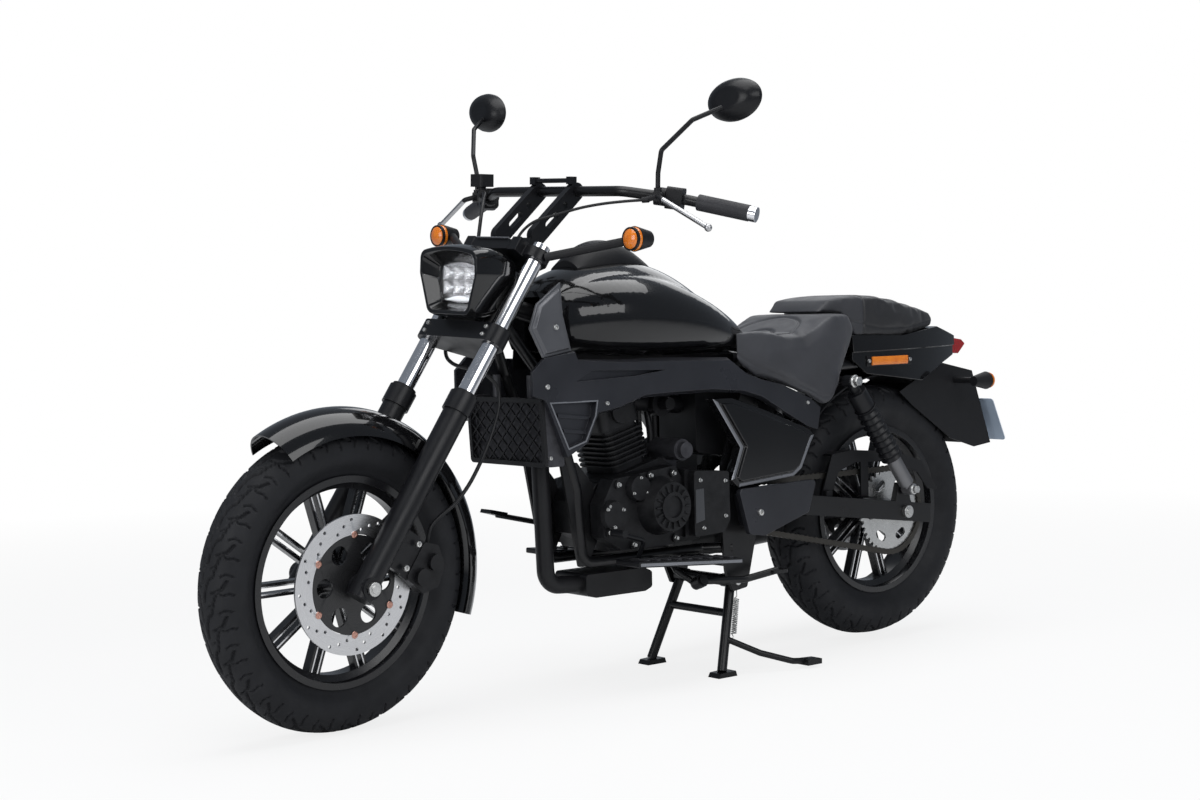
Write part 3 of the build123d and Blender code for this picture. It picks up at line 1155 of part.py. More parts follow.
REAR_GUARD_HALF = 74
GUARD_TAIL = [(REAR - 55, 606), (REAR - 102, 570), (REAR - 240, 482), (REAR - 330, 455), (REAR - 393, 462),
              (REAR - 325, 648)]
REAR_GUARD_T = 4
with BuildPart() as rear_mudguard:
    slab([(x, z - FIT) for x, z in COWL_UNDER[::-1]] + GUARD_TAIL, -REAR_GUARD_HALF, REAR_GUARD_HALF)
    slab([(REAR - 190, 655), (REAR - 317, 638), (REAR - 380, 440), (REAR - 210, 400), (REAR - 10, 560),
          (REAR - 10, 655)],
         -REAR_GUARD_HALF + REAR_GUARD_T, REAR_GUARD_HALF - REAR_GUARD_T, mode=Mode.SUBTRACT)
    start = Vector(cos(radians(112)), 0, sin(radians(112)))
    with BuildSketch(Plane(origin=REAR_AXLE, x_dir=start, z_dir=start.cross(Vector(0, 1, 0)))):
        with Locations((REAR_TYRE_R + 20, 0)):
            Rectangle(4, 2 * REAR_GUARD_HALF - 8)
    revolve(axis=Axis(REAR_AXLE, (0, 1, 0)), revolution_arc=77)
save("rear_mudguard", rear_mudguard)

with BuildPart() as number_plate:
    face = Plane(origin=(REAR - 408, 0, 520), x_dir=(0, 1, 0), z_dir=(-1, 0, 0.46))
    with BuildSketch(face):
        RectangleRounded(180, 118, 8)
    extrude(amount=2)
    with BuildSketch(face):
        with Locations((0, -20), (0, 20)):
            Rectangle(60, 14)
    extrude(amount=-36)
    slab(GUARD_TAIL + [(REAR - 210, 640), (REAR - 55, 640)], -REAR_GUARD_HALF, REAR_GUARD_HALF, mode=Mode.SUBTRACT)
save("number_plate", number_plate)

with BuildPart() as rear_indicators:
    bar([(REAR - 260, REAR_GUARD_HALF, 626), (REAR - 260, 150, 626)], 8)
    with BuildSketch(across(REAR - 279)) as back:
        with Locations((156, 626)):
            Circle(22)
    extrude(amount=46, taper=12)
    with BuildSketch(across(REAR - 279)):
        with Locations((156, 626)):
            Circle(21)
    extrude(amount=-10, taper=20)
    both_sides()
save("rear_indicators", rear_indicators)

# ---------------------------------------------------------------- exhaust
PORT_UP = 4 + BARREL_H + HEAD_H / 2         # exhaust port up the cylinder's axis
PORT = BORE.origin + BORE_UP * PORT_UP + BORE.x_dir * (56 + FIT)
PIPE_R = 19
SILENCER_R = 46
SILENCER_FROM = Vector(-258, -204, 262)
SILENCER_TO = Vector(-900, -214, 298)
SILENCER_LINE = (SILENCER_TO - SILENCER_FROM).normalized()
with BuildPart() as exhaust_header:
    bar([PORT, PORT + BORE.x_dir * 74, (322, 16, 500), (322, 28, 240), (232, 28, 234)], PIPE_R, bend=34)
    slab([(236, 212), (236, 256), (70, 256), (50, 246), (50, 212), (70, 204), (210, 204)], -50, 58, round_by=7)
    bar([(60, -30, 230), (10, -70, 230), (-130, -190, 244), SILENCER_FROM - SILENCER_LINE * 50,
         SILENCER_FROM - SILENCER_LINE * FIT], PIPE_R, bend=40)
save("exhaust_header", exhaust_header)

with BuildPart() as silencer:
    line = SILENCER_LINE
    long = (SILENCER_TO - SILENCER_FROM).length
    with BuildSketch(Plane(origin=SILENCER_FROM, z_dir=line)):
        Circle(24)
    with BuildSketch(Plane(origin=SILENCER_FROM + line * 90, z_dir=line)):
        Circle(SILENCER_R)
    loft()
    with BuildSketch(Plane(origin=SILENCER_FROM + line * 90, z_dir=line)):
        Circle(SILENCER_R)
    extrude(amount=long - 90)
    with BuildSketch(Plane(origin=SILENCER_TO, z_dir=line)):
        Circle(22)
        Circle(18, mode=Mode.SUBTRACT)
    extrude(amount=26)
    with BuildSketch(Plane(origin=SILENCER_TO, z_dir=line)):
        Circle(18)
    extrude(amount=-60, mode=Mode.SUBTRACT)
save("silencer", silencer)

with BuildPart() as chain_guard:
    slab([(-440, 372), (-478, 471), (-547, 477), (-703, 463), (-790, 436), (-850, 360), (-812, 366), (-775, 408),
          (-700, 440), (-560, 448), (-500, 430), (-470, 372)], 97, 101, round_by=4)
    slab([(-478, 471), (-547, 477), (-703, 463), (-703, 459), (-547, 473), (-478, 467)], 72, 99)
    top = arm_z(-590) + ARM_H / 2 + FIT
    slab([(-600, 450), (-600, top + 1), (-575, top + 4), (-575, 450)], 97, 101)
    slab([(-600, top + 1), (-600, top + 5), (-575, top + 8), (-575, top + 4)], 97, 124)
    slab([(-466, 388), (-466, 366), (-446, 366), (-446, 388)], 97, ARM_Y - ARM_T / 2 - FIT)
save("chain_guard", chain_guard)

# ---------------------------------------------------------------- controls and stands
with BuildPart() as footboards:
    slab([(204, 292), (-96, 272), (-96, 260), (204, 280)], 120, 196, round_by=3)
    slab([(120, 282), (60, 282), (60, 262), (120, 266)], 74, 124)
    slab([(-20, 277), (-80, 273), (-80, 263), (-20, 263)], 74, 124)
    both_sides()
    bar([(150, 130, 290), (150, 150, 330), (225, 150, 352)], 5, bend=12)
    pin(225, 352, 136, 178, 8)
    bar([(140, -130, 290), (150, -160, 340), (282, -200, 372)], 6, bend=12)
    slab([(262, 366), (308, 378), (304, 386), (260, 376)], -226, -186)
save("footboards", footboards)

LEG_SPREAD = (74, 120)      # half spacing of the centre stand's legs at the pivot and at the feet
FOOT_X = -96
with BuildPart() as centre_stand:
    pin(STAND_PIVOT.X, STAND_PIVOT.Z, 60, PLATE_Y - MOVE, 15)
    bar([(STAND_PIVOT.X, 84, STAND_PIVOT.Z - 4), (FOOT_X, LEG_SPREAD[1], 12)], 11)
    slab([(FOOT_X + 26, 0), (FOOT_X + 20, 10), (FOOT_X - 26, 12), (FOOT_X - 30, 0)], LEG_SPREAD[1] - 18,
         LEG_SPREAD[1] + 18)
    both_sides()
    bar([(STAND_PIVOT.X + 22, -90, STAND_PIVOT.Z - 70), (STAND_PIVOT.X + 22, 90, STAND_PIVOT.Z - 70)], 9)
    pin(STAND_PIVOT.X, STAND_PIVOT.Z, -60, 60, 13)
    bar([(-120, 112, 80), (-190, 146, 44), (-262, 176, 20), (-304, 180, 16)], 7, bend=30)
    slab([(-290, 8), (-334, 8), (-334, 20), (-290, 22)], 164, 198)
    pin(STAND_PIVOT.X, STAND_PIVOT.Z, -PLATE_Y, PLATE_Y, PIVOT_R + PIN_FIT, mode=Mode.SUBTRACT)
save("centre_stand", centre_stand)

with BuildPart() as side_stand:
    bar([SIDE_PIVOT, (-152, 140, 214), (-236, 158, 228)], SIDE_EYE / 2, bend=60)
    with BuildSketch(Plane(origin=(-236, 158, 222), x_dir=(1, 0, 0), z_dir=(0, 0, 1))):
        RectangleRounded(44, 30, 6)
    extrude(amount=8)
    with BuildSketch(SIDE_PLANE.offset(-SIDE_EYE / 2)):
        Circle(15)
    extrude(amount=SIDE_EYE)
    with BuildSketch(SIDE_PLANE.offset(-40)):
        Circle(SIDE_PIN_R + PIN_FIT)
    extrude(amount=80, mode=Mode.SUBTRACT)
save("side_stand", side_stand)
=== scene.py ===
# %% [markdown]
# # A cruiser motorcycle, dressed over its solid model
# The solid model gives every piece its real size and place. This notebook gives those
# pieces their finishes, and builds what solids don't show: tread, stitching, lenses,
# reflectors, screws and the padded seats. Every cell makes one group of pieces.

# %% Load the solid model
import bpy, bmesh, json
import numpy as np
from math import cos, degrees, hypot, pi, radians, sin, sqrt
from mathutils import Matrix, Vector
from mathutils.bvhtree import BVHTree


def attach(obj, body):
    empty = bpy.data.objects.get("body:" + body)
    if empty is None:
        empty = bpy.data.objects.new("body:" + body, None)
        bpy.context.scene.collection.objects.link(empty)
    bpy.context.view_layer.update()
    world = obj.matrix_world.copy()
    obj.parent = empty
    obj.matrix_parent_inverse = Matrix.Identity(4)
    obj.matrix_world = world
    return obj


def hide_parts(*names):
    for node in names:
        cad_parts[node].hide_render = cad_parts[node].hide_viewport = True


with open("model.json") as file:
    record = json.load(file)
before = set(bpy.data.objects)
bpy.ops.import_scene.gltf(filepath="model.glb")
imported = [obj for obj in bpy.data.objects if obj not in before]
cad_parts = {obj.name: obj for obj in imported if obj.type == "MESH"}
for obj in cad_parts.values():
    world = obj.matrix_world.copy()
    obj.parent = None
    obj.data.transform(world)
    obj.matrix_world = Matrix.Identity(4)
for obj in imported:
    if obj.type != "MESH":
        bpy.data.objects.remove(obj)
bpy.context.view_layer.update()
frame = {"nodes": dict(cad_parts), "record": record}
NODES = frame["nodes"]

# %% [markdown]
# ## Places that several cells share
# The front end is designed straight ahead and then turned about the steering axis, so a
# point of it is written straight ahead and passes through `STEERED`. Along the fork,
# places are counted up the leg from the front axle.

# %% Shared places
MM = 0.001
FRONT_AXLE = Vector((830, 0, 302)) * MM
REAR_AXLE = Vector((-690, 0, 322)) * MM
RAKE = radians(34.5)
UP_FORK = Vector((-sin(RAKE), 0, cos(RAKE)))
FORK_FRONT = Vector((cos(RAKE), 0, sin(RAKE)))
STEER_FOOT = FRONT_AXLE - FORK_FRONT * 35 * MM
REST_TURN = radians(5)      # the bar stands turned this far to the left
STEERED = (Matrix.Translation(STEER_FOOT) @ Matrix.Rotation(REST_TURN, 4, UP_FORK)
           @ Matrix.Translation(-STEER_FOOT))
BODY_OF = {node: body for body, nodes in frame["record"]["behaviour"]["bodies"].items() for node in nodes}
SLOT_OF = {row["node"]: row["material_slot"] for row in frame["record"]["subparts"]}


def mm(x, y, z):
    """A point given in millimetres."""
    return Vector((x, y, z)) * MM


def on_fork(ahead, side, up):
    """A point beside the fork: ahead of the leg, to the left, up the leg, in millimetres."""
    return FRONT_AXLE + FORK_FRONT * ahead * MM + Vector((0, side * MM, 0)) + UP_FORK * up * MM


AXIS_ACROSS = Matrix.Rotation(radians(90), 4, "X")      # lays a shape made about Z on an axle
WHEEL_PLACE = {"front": STEERED @ Matrix.Translation(FRONT_AXLE) @ AXIS_ACROSS,
               "rear": Matrix.Translation(REAR_AXLE) @ AXIS_ACROSS}
print("steering axis leans", round(degrees(RAKE), 1), "degrees")

# %% [markdown]
# ## Helpers that finish a piece
# `keep` takes a finished mesh object, gives it a finish and lets it move with a body.
# `dress` copies the mesh of a solid, welds its loose triangles, rounds the sharp edges
# a little and shades the curved faces smooth, because light runs along a real edge.

# %% Helpers that finish a piece
WELD = 2e-6     # metres: corners closer than this are one
SHARP = 38      # degrees: edges sharper than this keep their crease
FLAT = 0.3      # degrees: faces that meet flatter than this are one face


def linked(name, data):
    """A new object in the scene that holds some data."""
    made = bpy.data.objects.new(name, data)
    bpy.context.scene.collection.objects.link(made)
    return made


def keep(piece, body, finish, slot, *instead_of):
    """Gives a piece its finish and body, and hides the solids it stands for. The slot is not used."""
    piece.data.materials.clear()
    piece.data.materials.append(finish)
    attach(piece, body)
    if instead_of:
        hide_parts(*instead_of)
    return piece


def smooth(mesh, angle=SHARP):
    """Shades a mesh smooth, but keeps edges sharper than the angle."""
    mesh.shade_smooth()
    mesh.set_sharp_from_angle(angle=radians(angle))


def welded(node):
    """A bmesh of a solid whose loose triangles are joined where they touch."""
    bm = bmesh.new()
    bm.from_mesh(NODES[node].data)
    bmesh.ops.remove_doubles(bm, verts=bm.verts, dist=WELD)
    return bm


def from_bmesh(name, bm):
    """A new object from a bmesh, which is freed."""
    mesh = bpy.data.meshes.new(name)
    bm.to_mesh(mesh)
    bm.free()
    return linked(name, mesh)


def outward(piece):
    """Turns every face of a finished piece outwards."""
    bm = bmesh.new()
    bm.from_mesh(piece.data)
    bmesh.ops.recalc_face_normals(bm, faces=bm.faces)
    bm.to_mesh(piece.data)
    bm.free()
    return piece


def dress(node, finish, edge=0.0):
    """A welded, edge-rounded copy of a solid in its finish."""
    bm = welded(node)
    bmesh.ops.dissolve_degenerate(bm, edges=bm.edges, dist=WELD / 2)
    if edge:
        bmesh.ops.dissolve_limit(bm, angle_limit=radians(FLAT), verts=bm.verts, edges=bm.edges)
    piece = from_bmesh(node + "_dress", bm)
    smooth(piece.data)
    if edge:
        bevel = piece.modifiers.new("edges", "BEVEL")
        bevel.width, bevel.segments = edge * MM, 2
        bevel.limit_method, bevel.angle_limit = "ANGLE", radians(SHARP)
    piece.modifiers.new("flat_faces", "WEIGHTED_NORMAL").keep_sharp = True
    return keep(piece, BODY_OF[node], finish, SLOT_OF[node], node)


def second(piece, finish, test):
    """Gives the faces whose centre, in millimetres, passes a test a finish of their own."""
    piece.data.materials.append(finish)
    index = len(piece.data.materials) - 1
    for polygon in piece.data.polygons:
        if test(polygon.center / MM):
            polygon.material_index = index


print("helpers ready")

# %% [markdown]
# ## Shapes from rings of points
# Nearly every small shape here is a pile of rings: a prism has two, a turned knob has one
# at each step of its profile, a trim has one at each corner. `stacked` joins such rings
# and closes the ends, so that each piece only has to say where its rings lie.

# %% Shapes from rings
def stacked(rings):
    """A closed shape, as points and faces, through rings of points. One lone point is a tip."""
    rings = [[tuple(p) for p in ring] for ring in rings]
    n = max(len(ring) for ring in rings)
    starts = [sum(len(ring) for ring in rings[:k]) for k in range(len(rings))]
    faces = []
    for low, high, a, b in zip(rings, rings[1:], starts, starts[1:]):
        for i in range(n):
            j = (i + 1) % n
            if len(low) == 1:
                faces.append((a, b + j, b + i))
            elif len(high) == 1:
                faces.append((a + i, a + j, b))
            else:
                faces.append((a + i, a + j, b + j, b + i))
    if len(rings[0]) > 1:
        faces.append(tuple(range(n))[::-1])
    if len(rings[-1]) > 1:
        faces.append(tuple(range(starts[-1], starts[-1] + n)))
    return [p for ring in rings for p in ring], faces


def turned_profile(profile, sides=24):
    """A shape turned about Z from (radius, height) points that start and end on the axis."""
    turns = [2 * pi * i / sides for i in range(sides)]
    return stacked([(0, 0, z)] if r == 0 else [(r * cos(t), r * sin(t), z) for t in turns] for r, z in profile)


def strip(corners, low, high):
    """A prism in metres from a polygon and two heights in millimetres."""
    return stacked([(x * MM, y * MM, z * MM) for x, y in corners] for z in (low, high))


def joined(shapes):
    """Puts several shapes in one."""
    points, faces = [], []
    for some, many in shapes:
        first = len(points)
        points += some
        faces += [tuple(first + i for i in face) for face in many]
    return points, faces


def both_sides(make):
    """The shapes that a function makes for the right side, -1, and the left side, 1."""
    return joined([make(side) for side in (-1, 1)])


def moved(shape, place):
    """A shape whose points have passed through a function of x, y and z."""
    return [place(*p) for p in shape[0]], shape[1]


def rounded(corners, closed=False, rounds=3):
    """Rounds a line of corners by cutting each a quarter of the way along."""
    for _ in range(rounds):
        cut = [] if closed else [corners[0]]
        for (ax, ay), (bx, by) in zip(corners, corners[1:] + (corners[:1] if closed else [])):
            cut += [(0.75 * ax + 0.25 * bx, 0.75 * ay + 0.25 * by), (0.25 * ax + 0.75 * bx, 0.25 * ay + 0.75 * by)]
        corners = cut if closed else cut + [corners[-1]]
    return corners


def mesh_piece(name, shape, angle=SHARP):
    """A new object from a shape."""
    mesh = bpy.data.meshes.new(name)
    mesh.from_pydata([tuple(p) for p in shape[0]], [], shape[1])
    mesh.validate()
    smooth(mesh, angle)
    return linked(name, mesh)


def finished(name, shape, finish, slot, *instead_of, body="frame", place=None, angle=SHARP):
    """A piece made of a shape, put in its place and given its finish and body."""
    piece = mesh_piece(name, shape, angle)
    if place is not None:
        piece.data.transform(place)
    return keep(outward(piece), body, FINISH[finish], slot, *instead_of)


FRONT_END = {"body": "steering", "place": STEERED}      # for shapes written straight ahead
print("a prism on four corners has", len(strip([(0, 0), (1, 0), (1, 1), (0, 1)], 0, 1)[1]), "faces")

# %% [markdown]
# ## Camera
# A long lens stands at the left front, at the height of the tank, with a slight roll.
# `aim` is also what turns the lamps to their targets, further down.

# %% Camera
EYE, LOOK_AT, ROLL = Vector((2.904, 3.372, 0.835)), Vector((0.1401, 0, 0.6259)), -1.256


def aim(place, target, roll):
    """A camera matrix that looks from place to target, turned by roll degrees."""
    look = (target - place).normalized()
    side = look.cross(Vector((0, 0, 1))).normalized()
    lift = side.cross(look)
    right = side * cos(radians(roll)) + lift * sin(radians(roll))
    up = lift * cos(radians(roll)) - side * sin(radians(roll))
    turn = Matrix((right, up, -look)).transposed()
    return Matrix.Translation(place) @ turn.to_4x4()


lens = bpy.data.cameras.new("Camera")
lens.lens, lens.sensor_width, lens.clip_end = 59.88, 36, 60
camera = linked("Camera", lens)
camera.matrix_world = aim(EYE, LOOK_AT, ROLL)
bpy.context.scene.camera = camera
bpy.context.scene.view_settings.view_transform = "Standard"
print("camera lens", lens.lens, "mm")

# %% [markdown]
# ## Floor and light
# The floor and the world are white to the camera, directly and through glass, while
# large soft boxes give lacquer and chrome something to show. The floor keeps a faint
# shadow near the wheels, because it is only part emission there.

# %% Floor, world and soft boxes
def add_node(tree, kind, inputs=(), **settings):
    """Adds a node with its settings, and links or sets its inputs by name."""
    made = tree.nodes.new(kind)
    for key, value in settings.items():
        setattr(made, key, value)
    for name, source in dict(inputs).items():
        if isinstance(source, bpy.types.NodeSocket):
            tree.links.new(source, made.inputs[name])
        else:
            made.inputs[name].default_value = source
    return made


def white_for_camera(tree, shader, white, share=1.0):
    """Mixes a plain white in, by a share, for rays that the camera sees directly or through glass."""
    rays = add_node(tree, "ShaderNodeLightPath").outputs
    seen = add_node(tree, "ShaderNodeMath", {0: rays["Is Camera Ray"], 1: rays["Is Transmission Ray"]},
                    operation="MAXIMUM")
    part = add_node(tree, "ShaderNodeMath", {0: seen.outputs[0], 1: share}, operation="MULTIPLY")
    return add_node(tree, "ShaderNodeMixShader", {0: part.outputs[0], 1: shader, 2: white}).outputs[0]


HALF_FLOOR = 14     # metres
corners = [(x * HALF_FLOOR, y * HALF_FLOOR, 0) for x, y in ((-1, -1), (1, -1), (1, 1), (-1, 1))]
floor_mesh = bpy.data.meshes.new("floor")
floor_mesh.from_pydata(corners, [], [(0, 1, 2, 3)])
floor = linked("floor", floor_mesh)
paper = bpy.data.materials.new("studio_paper")
paper.use_nodes = True
tree = paper.node_tree
tree.nodes.clear()
matt = add_node(tree, "ShaderNodeBsdfDiffuse", {"Color": (0.8, 0.8, 0.8, 1)})
glow = add_node(tree, "ShaderNodeEmission", {"Strength": 1.0})
place = add_node(tree, "ShaderNodeTexCoord").outputs["Object"]
from_middle = add_node(tree, "ShaderNodeVectorMath", {0: place}, operation="LENGTH")
fade = add_node(tree, "ShaderNodeMapRange", {"Value": from_middle.outputs["Value"], "From Min": 1.6, "From Max": 4.5,
                                             "To Min": 0.82, "To Max": 1.0})
mixed = white_for_camera(tree, matt.outputs[0], glow.outputs[0], fade.outputs[0])
add_node(tree, "ShaderNodeOutputMaterial", {0: mixed})
floor.data.materials.append(paper)

world = bpy.data.worlds.new("studio")
world.use_nodes = True
bpy.context.scene.world = world
tree = world.node_tree
tree.nodes.clear()
sky = add_node(tree, "ShaderNodeBackground", {"Color": (0.78, 0.87, 1.0, 1), "Strength": 0.24})
bright = add_node(tree, "ShaderNodeBackground", {"Color": (1, 1, 1, 1), "Strength": 1.0})
add_node(tree, "ShaderNodeOutputWorld", {0: white_for_camera(tree, sky.outputs[0], bright.outputs[0])})

SOFT_BOXES = {      # name: place, target, width and height in metres, watts
    "overhead": ((0.0, 0.2, 3.8), (0, 0, 0.5), 5.0, 2.6, 120),
    "left_wall": ((0.6, 4.4, 2.6), (0, 0, 0.6), 5.0, 1.8, 85),
    "front_wall": ((4.6, 0.8, 1.8), (0.6, 0, 0.6), 2.4, 1.8, 58),
    "back_edge": ((-3.8, -2.6, 3.0), (-0.3, 0, 0.6), 3.6, 2.2, 30),
}
for name, (place, target, width, height, watts) in SOFT_BOXES.items():
    lamp = bpy.data.lights.new(name, "AREA")
    lamp.shape = "RECTANGLE"
    lamp.size, lamp.size_y, lamp.energy = width, height, watts
    linked(name, lamp).matrix_world = aim(Vector(place), Vector(target), 0)
print(len(SOFT_BOXES), "lamps")

# %% [markdown]
# ## Finishes
# A finish starts as one Principled shader. Each kind then gets what the real surface
# has: lacquer has a clear coat and a slight orange peel, castings have sand grain, vinyl
# has fine leather cells, ground steel has circular scratches. The pattern is read from
# Object coordinates, so it stays on its piece when the piece moves.

# %% A finish and its parts
class Finish:
    """A material under construction: its node tree, its shader and a few shorthands."""

    def __init__(self, name, colour, rough, metal=0.0, sockets=()):
        self.material = bpy.data.materials.new(name)
        self.material.use_nodes = True
        self.tree = self.material.node_tree
        self.shader = self.tree.nodes["Principled BSDF"]
        self.colour, self.rough, self.height = colour, rough, None
        start = {"Base Color": (*colour, 1), "Roughness": rough, "Metallic": metal, **dict(sockets)}
        for socket, value in start.items():
            self.shader.inputs[socket].default_value = value

    def node(self, kind, inputs=(), **settings):
        return add_node(self.tree, kind, inputs, **settings)

    def to_shader(self, socket, source):
        self.tree.links.new(source, self.shader.inputs[socket])

    def coordinates(self, centre=(0, 0, 0), turn=(0, 0, 0), stretch=(1, 1, 1)):
        """Object coordinates, centred, turned and stretched."""
        place = self.node("ShaderNodeTexCoord").outputs["Object"]
        return self.node("ShaderNodeMapping", {"Vector": place, "Location": centre, "Rotation": turn,
                                               "Scale": stretch}, vector_type="TEXTURE").outputs[0]

    def noise(self, scale, detail=3.0, where=None, rough=0.5):
        where = self.coordinates() if where is None else where
        return self.node("ShaderNodeTexNoise", {"Vector": where, "Scale": scale, "Detail": detail,
                                                "Roughness": rough}).outputs["Fac"]

    def spread(self, source, low, high, from_low=0.3, from_high=0.7):
        """Maps a pattern from its own range to low..high."""
        return self.node("ShaderNodeMapRange", {"Value": source, "From Min": from_low, "From Max": from_high,
                                                "To Min": low, "To Max": high}).outputs[0]

    def tint(self, source, other):
        """Mixes the colour towards another by a pattern. Sockets 6 and 7 are the node's colours."""
        mix = self.node("ShaderNodeMix", {0: source, 6: (*self.colour, 1), 7: (*other, 1)}, data_type="RGBA")
        self.to_shader("Base Color", mix.outputs[2])

    def mottle(self, scale, detail, most, gain, rough=0.5, plus=0.0):
        """Patches where the colour is multiplied by a gain."""
        self.tint(self.spread(self.noise(scale, detail, rough=rough), 0.0, most),
                  [min(1.0, gain * c + plus) for c in self.colour])

    def uneven(self, scale, amount):
        """Roughness that varies by a soft pattern."""
        self.to_shader("Roughness", self.spread(self.noise(scale), self.rough - amount, self.rough + amount))

    def bump(self, source, depth, strength=1.0):
        """Stacks a height pattern, in metres, on what is there."""
        below = {} if self.height is None else {"Normal": self.height}
        made = self.node("ShaderNodeBump", {"Strength": strength, "Distance": depth, "Height": source, **below})
        self.height = made.outputs[0]
        self.to_shader("Normal", self.height)


print("finish builder ready")

# %% [markdown]
# ## Recipes and the list of finishes
# Each recipe below is one kind of surface. The list that follows names every finish of
# the motorcycle and picks its recipe, colour and roughness.

# %% Paints and castings
def lacquer(name, colour, rough=0.16):
    """Deep gloss paint: colour, clear coat and the slightest orange peel."""
    made = Finish(name, colour, rough, sockets={"Coat Weight": 0.75, "Coat Roughness": 0.02,
                                                "Specular IOR Level": 0.15})
    made.uneven(9, 0.04)
    made.bump(made.noise(120, 1), 0.00003, 0.12)
    return made.material


def satin(name, colour, rough=0.42, metal=0.0, grain=900, coat=0.0):
    """Satin powder coat or grained plastic."""
    made = Finish(name, colour, rough, metal, {"Specular IOR Level": 0.28, "Coat Weight": coat,
                                               "Coat Roughness": 0.25})
    made.uneven(14, 0.07)
    made.mottle(6, 4, 1.0, 1.45)
    made.bump(made.noise(grain, 2), 0.00006, 0.4)
    return made.material


def casting(name, colour, rough=0.5, metal=0.2):
    """Painted die casting: sand grain and slightly worn, lighter high spots."""
    made = Finish(name, colour, rough, metal, {"Specular IOR Level": 0.3})
    made.uneven(22, 0.09)
    made.mottle(45, 6, 0.55, 2.2, rough=0.65, plus=0.01)
    made.bump(made.noise(620, 3, rough=0.7), 0.00018, 0.55)
    return made.material


def metal(name, colour, rough, streaks=(1, 1, 1), scale=420, depth=0.00003):
    """Bare metal with fine streaks along the stretched direction."""
    made = Finish(name, colour, rough, 1.0)
    lines = made.noise(scale, 4, made.coordinates(stretch=streaks))
    made.to_shader("Roughness", made.spread(lines, max(rough - 0.05, 0.02), rough + 0.12))
    made.mottle(30, 3, 0.5, 0.8)
    made.bump(lines, depth, 0.5)
    return made.material


def ground(name, colour, centre, axis_turn, ring_from):
    """Steel ground in circles about a wheel's axle. Within the ring it is dark paint."""
    made = Finish(name, colour, 0.3, 1.0)
    split = made.node("ShaderNodeSeparateXYZ", {0: made.coordinates(centre, axis_turn)})
    flat = made.node("ShaderNodeCombineXYZ", {0: split.outputs[0], 1: split.outputs[1]})
    reach = made.node("ShaderNodeVectorMath", {0: flat.outputs[0]}, operation="LENGTH").outputs["Value"]
    rings = made.node("ShaderNodeTexNoise", {"W": reach, "Scale": 1900, "Detail": 4}, noise_dimensions="1D")
    made.to_shader("Roughness", made.spread(rings.outputs["Fac"], 0.2, 0.42))
    edge = ring_from - 0.0002, ring_from + 0.0002
    made.tint(made.spread(reach, 1.0, 0.0, *edge), (0.012, 0.012, 0.013))
    made.to_shader("Metallic", made.spread(reach, 0.0, 1.0, *edge))
    made.bump(rings.outputs["Fac"], 0.00005, 0.7)
    return made.material


def vinyl(name, colour, cell=420, rear=None, seam_x=0.0):
    """Seat covering: fine leather cells over soft wrinkles. Behind a seam it can change colour."""
    made = Finish(name, colour, 0.52, sockets={"Sheen Weight": 0.12, "Sheen Roughness": 0.4})
    cells = made.node("ShaderNodeTexVoronoi", {"Vector": made.coordinates(), "Scale": cell}, feature="F1")
    made.uneven(30, 0.07)
    if rear:
        along = made.node("ShaderNodeSeparateXYZ", {0: made.coordinates()}).outputs[0]
        made.tint(made.spread(along, 1.0, 0.0, seam_x - 0.0008, seam_x + 0.0008), rear)
    else:
        made.mottle(12, 4, 0.7, 1.6)
    made.bump(made.noise(38, 3), 0.0004, 0.25)
    made.bump(cells.outputs["Distance"], 0.00025, 0.5)
    return made.material


def rubber(name, colour, rough=0.72):
    """Moulded rubber with a dusty bloom."""
    made = Finish(name, colour, rough, sockets={"Specular IOR Level": 0.3})
    made.uneven(25, 0.08)
    made.mottle(16, 5, 0.7, 1.7, rough=0.7)
    made.bump(made.noise(520, 3), 0.00012, 0.5)
    return made.material


def lens_plastic(name, colour, rough=0.12):
    """Coloured lens: solid enough to read as its colour, with moulded ribs inside."""
    made = Finish(name, colour, rough, sockets={"Coat Weight": 0.7, "Coat Roughness": 0.04,
                                                "Transmission Weight": 0.18})
    made.mottle(60, 2, 0.7, 1.5)
    ribs = made.node("ShaderNodeTexWave", {"Vector": made.coordinates(), "Scale": 70}, wave_type="BANDS",
                     bands_direction="Z")
    made.bump(ribs.outputs["Fac"], 0.0004, 0.5)
    return made.material


def clear_plastic(name):
    """Clear moulded lens."""
    made = Finish(name, (0.97, 0.98, 1.0), 0.03, sockets={"Transmission Weight": 1.0, "IOR": 1.25, "Alpha": 0.35})
    made.bump(made.noise(40, 2), 0.00005, 0.2)
    return made.material


def painted_glow(name, colour, strength):
    """White translucent plastic with painted glow: a faint emission makes it look lit from within."""
    made = Finish(name, colour, 0.2, sockets={"Emission Color": (*colour, 1), "Emission Strength": strength})
    made.uneven(80, 0.06)
    return made.material


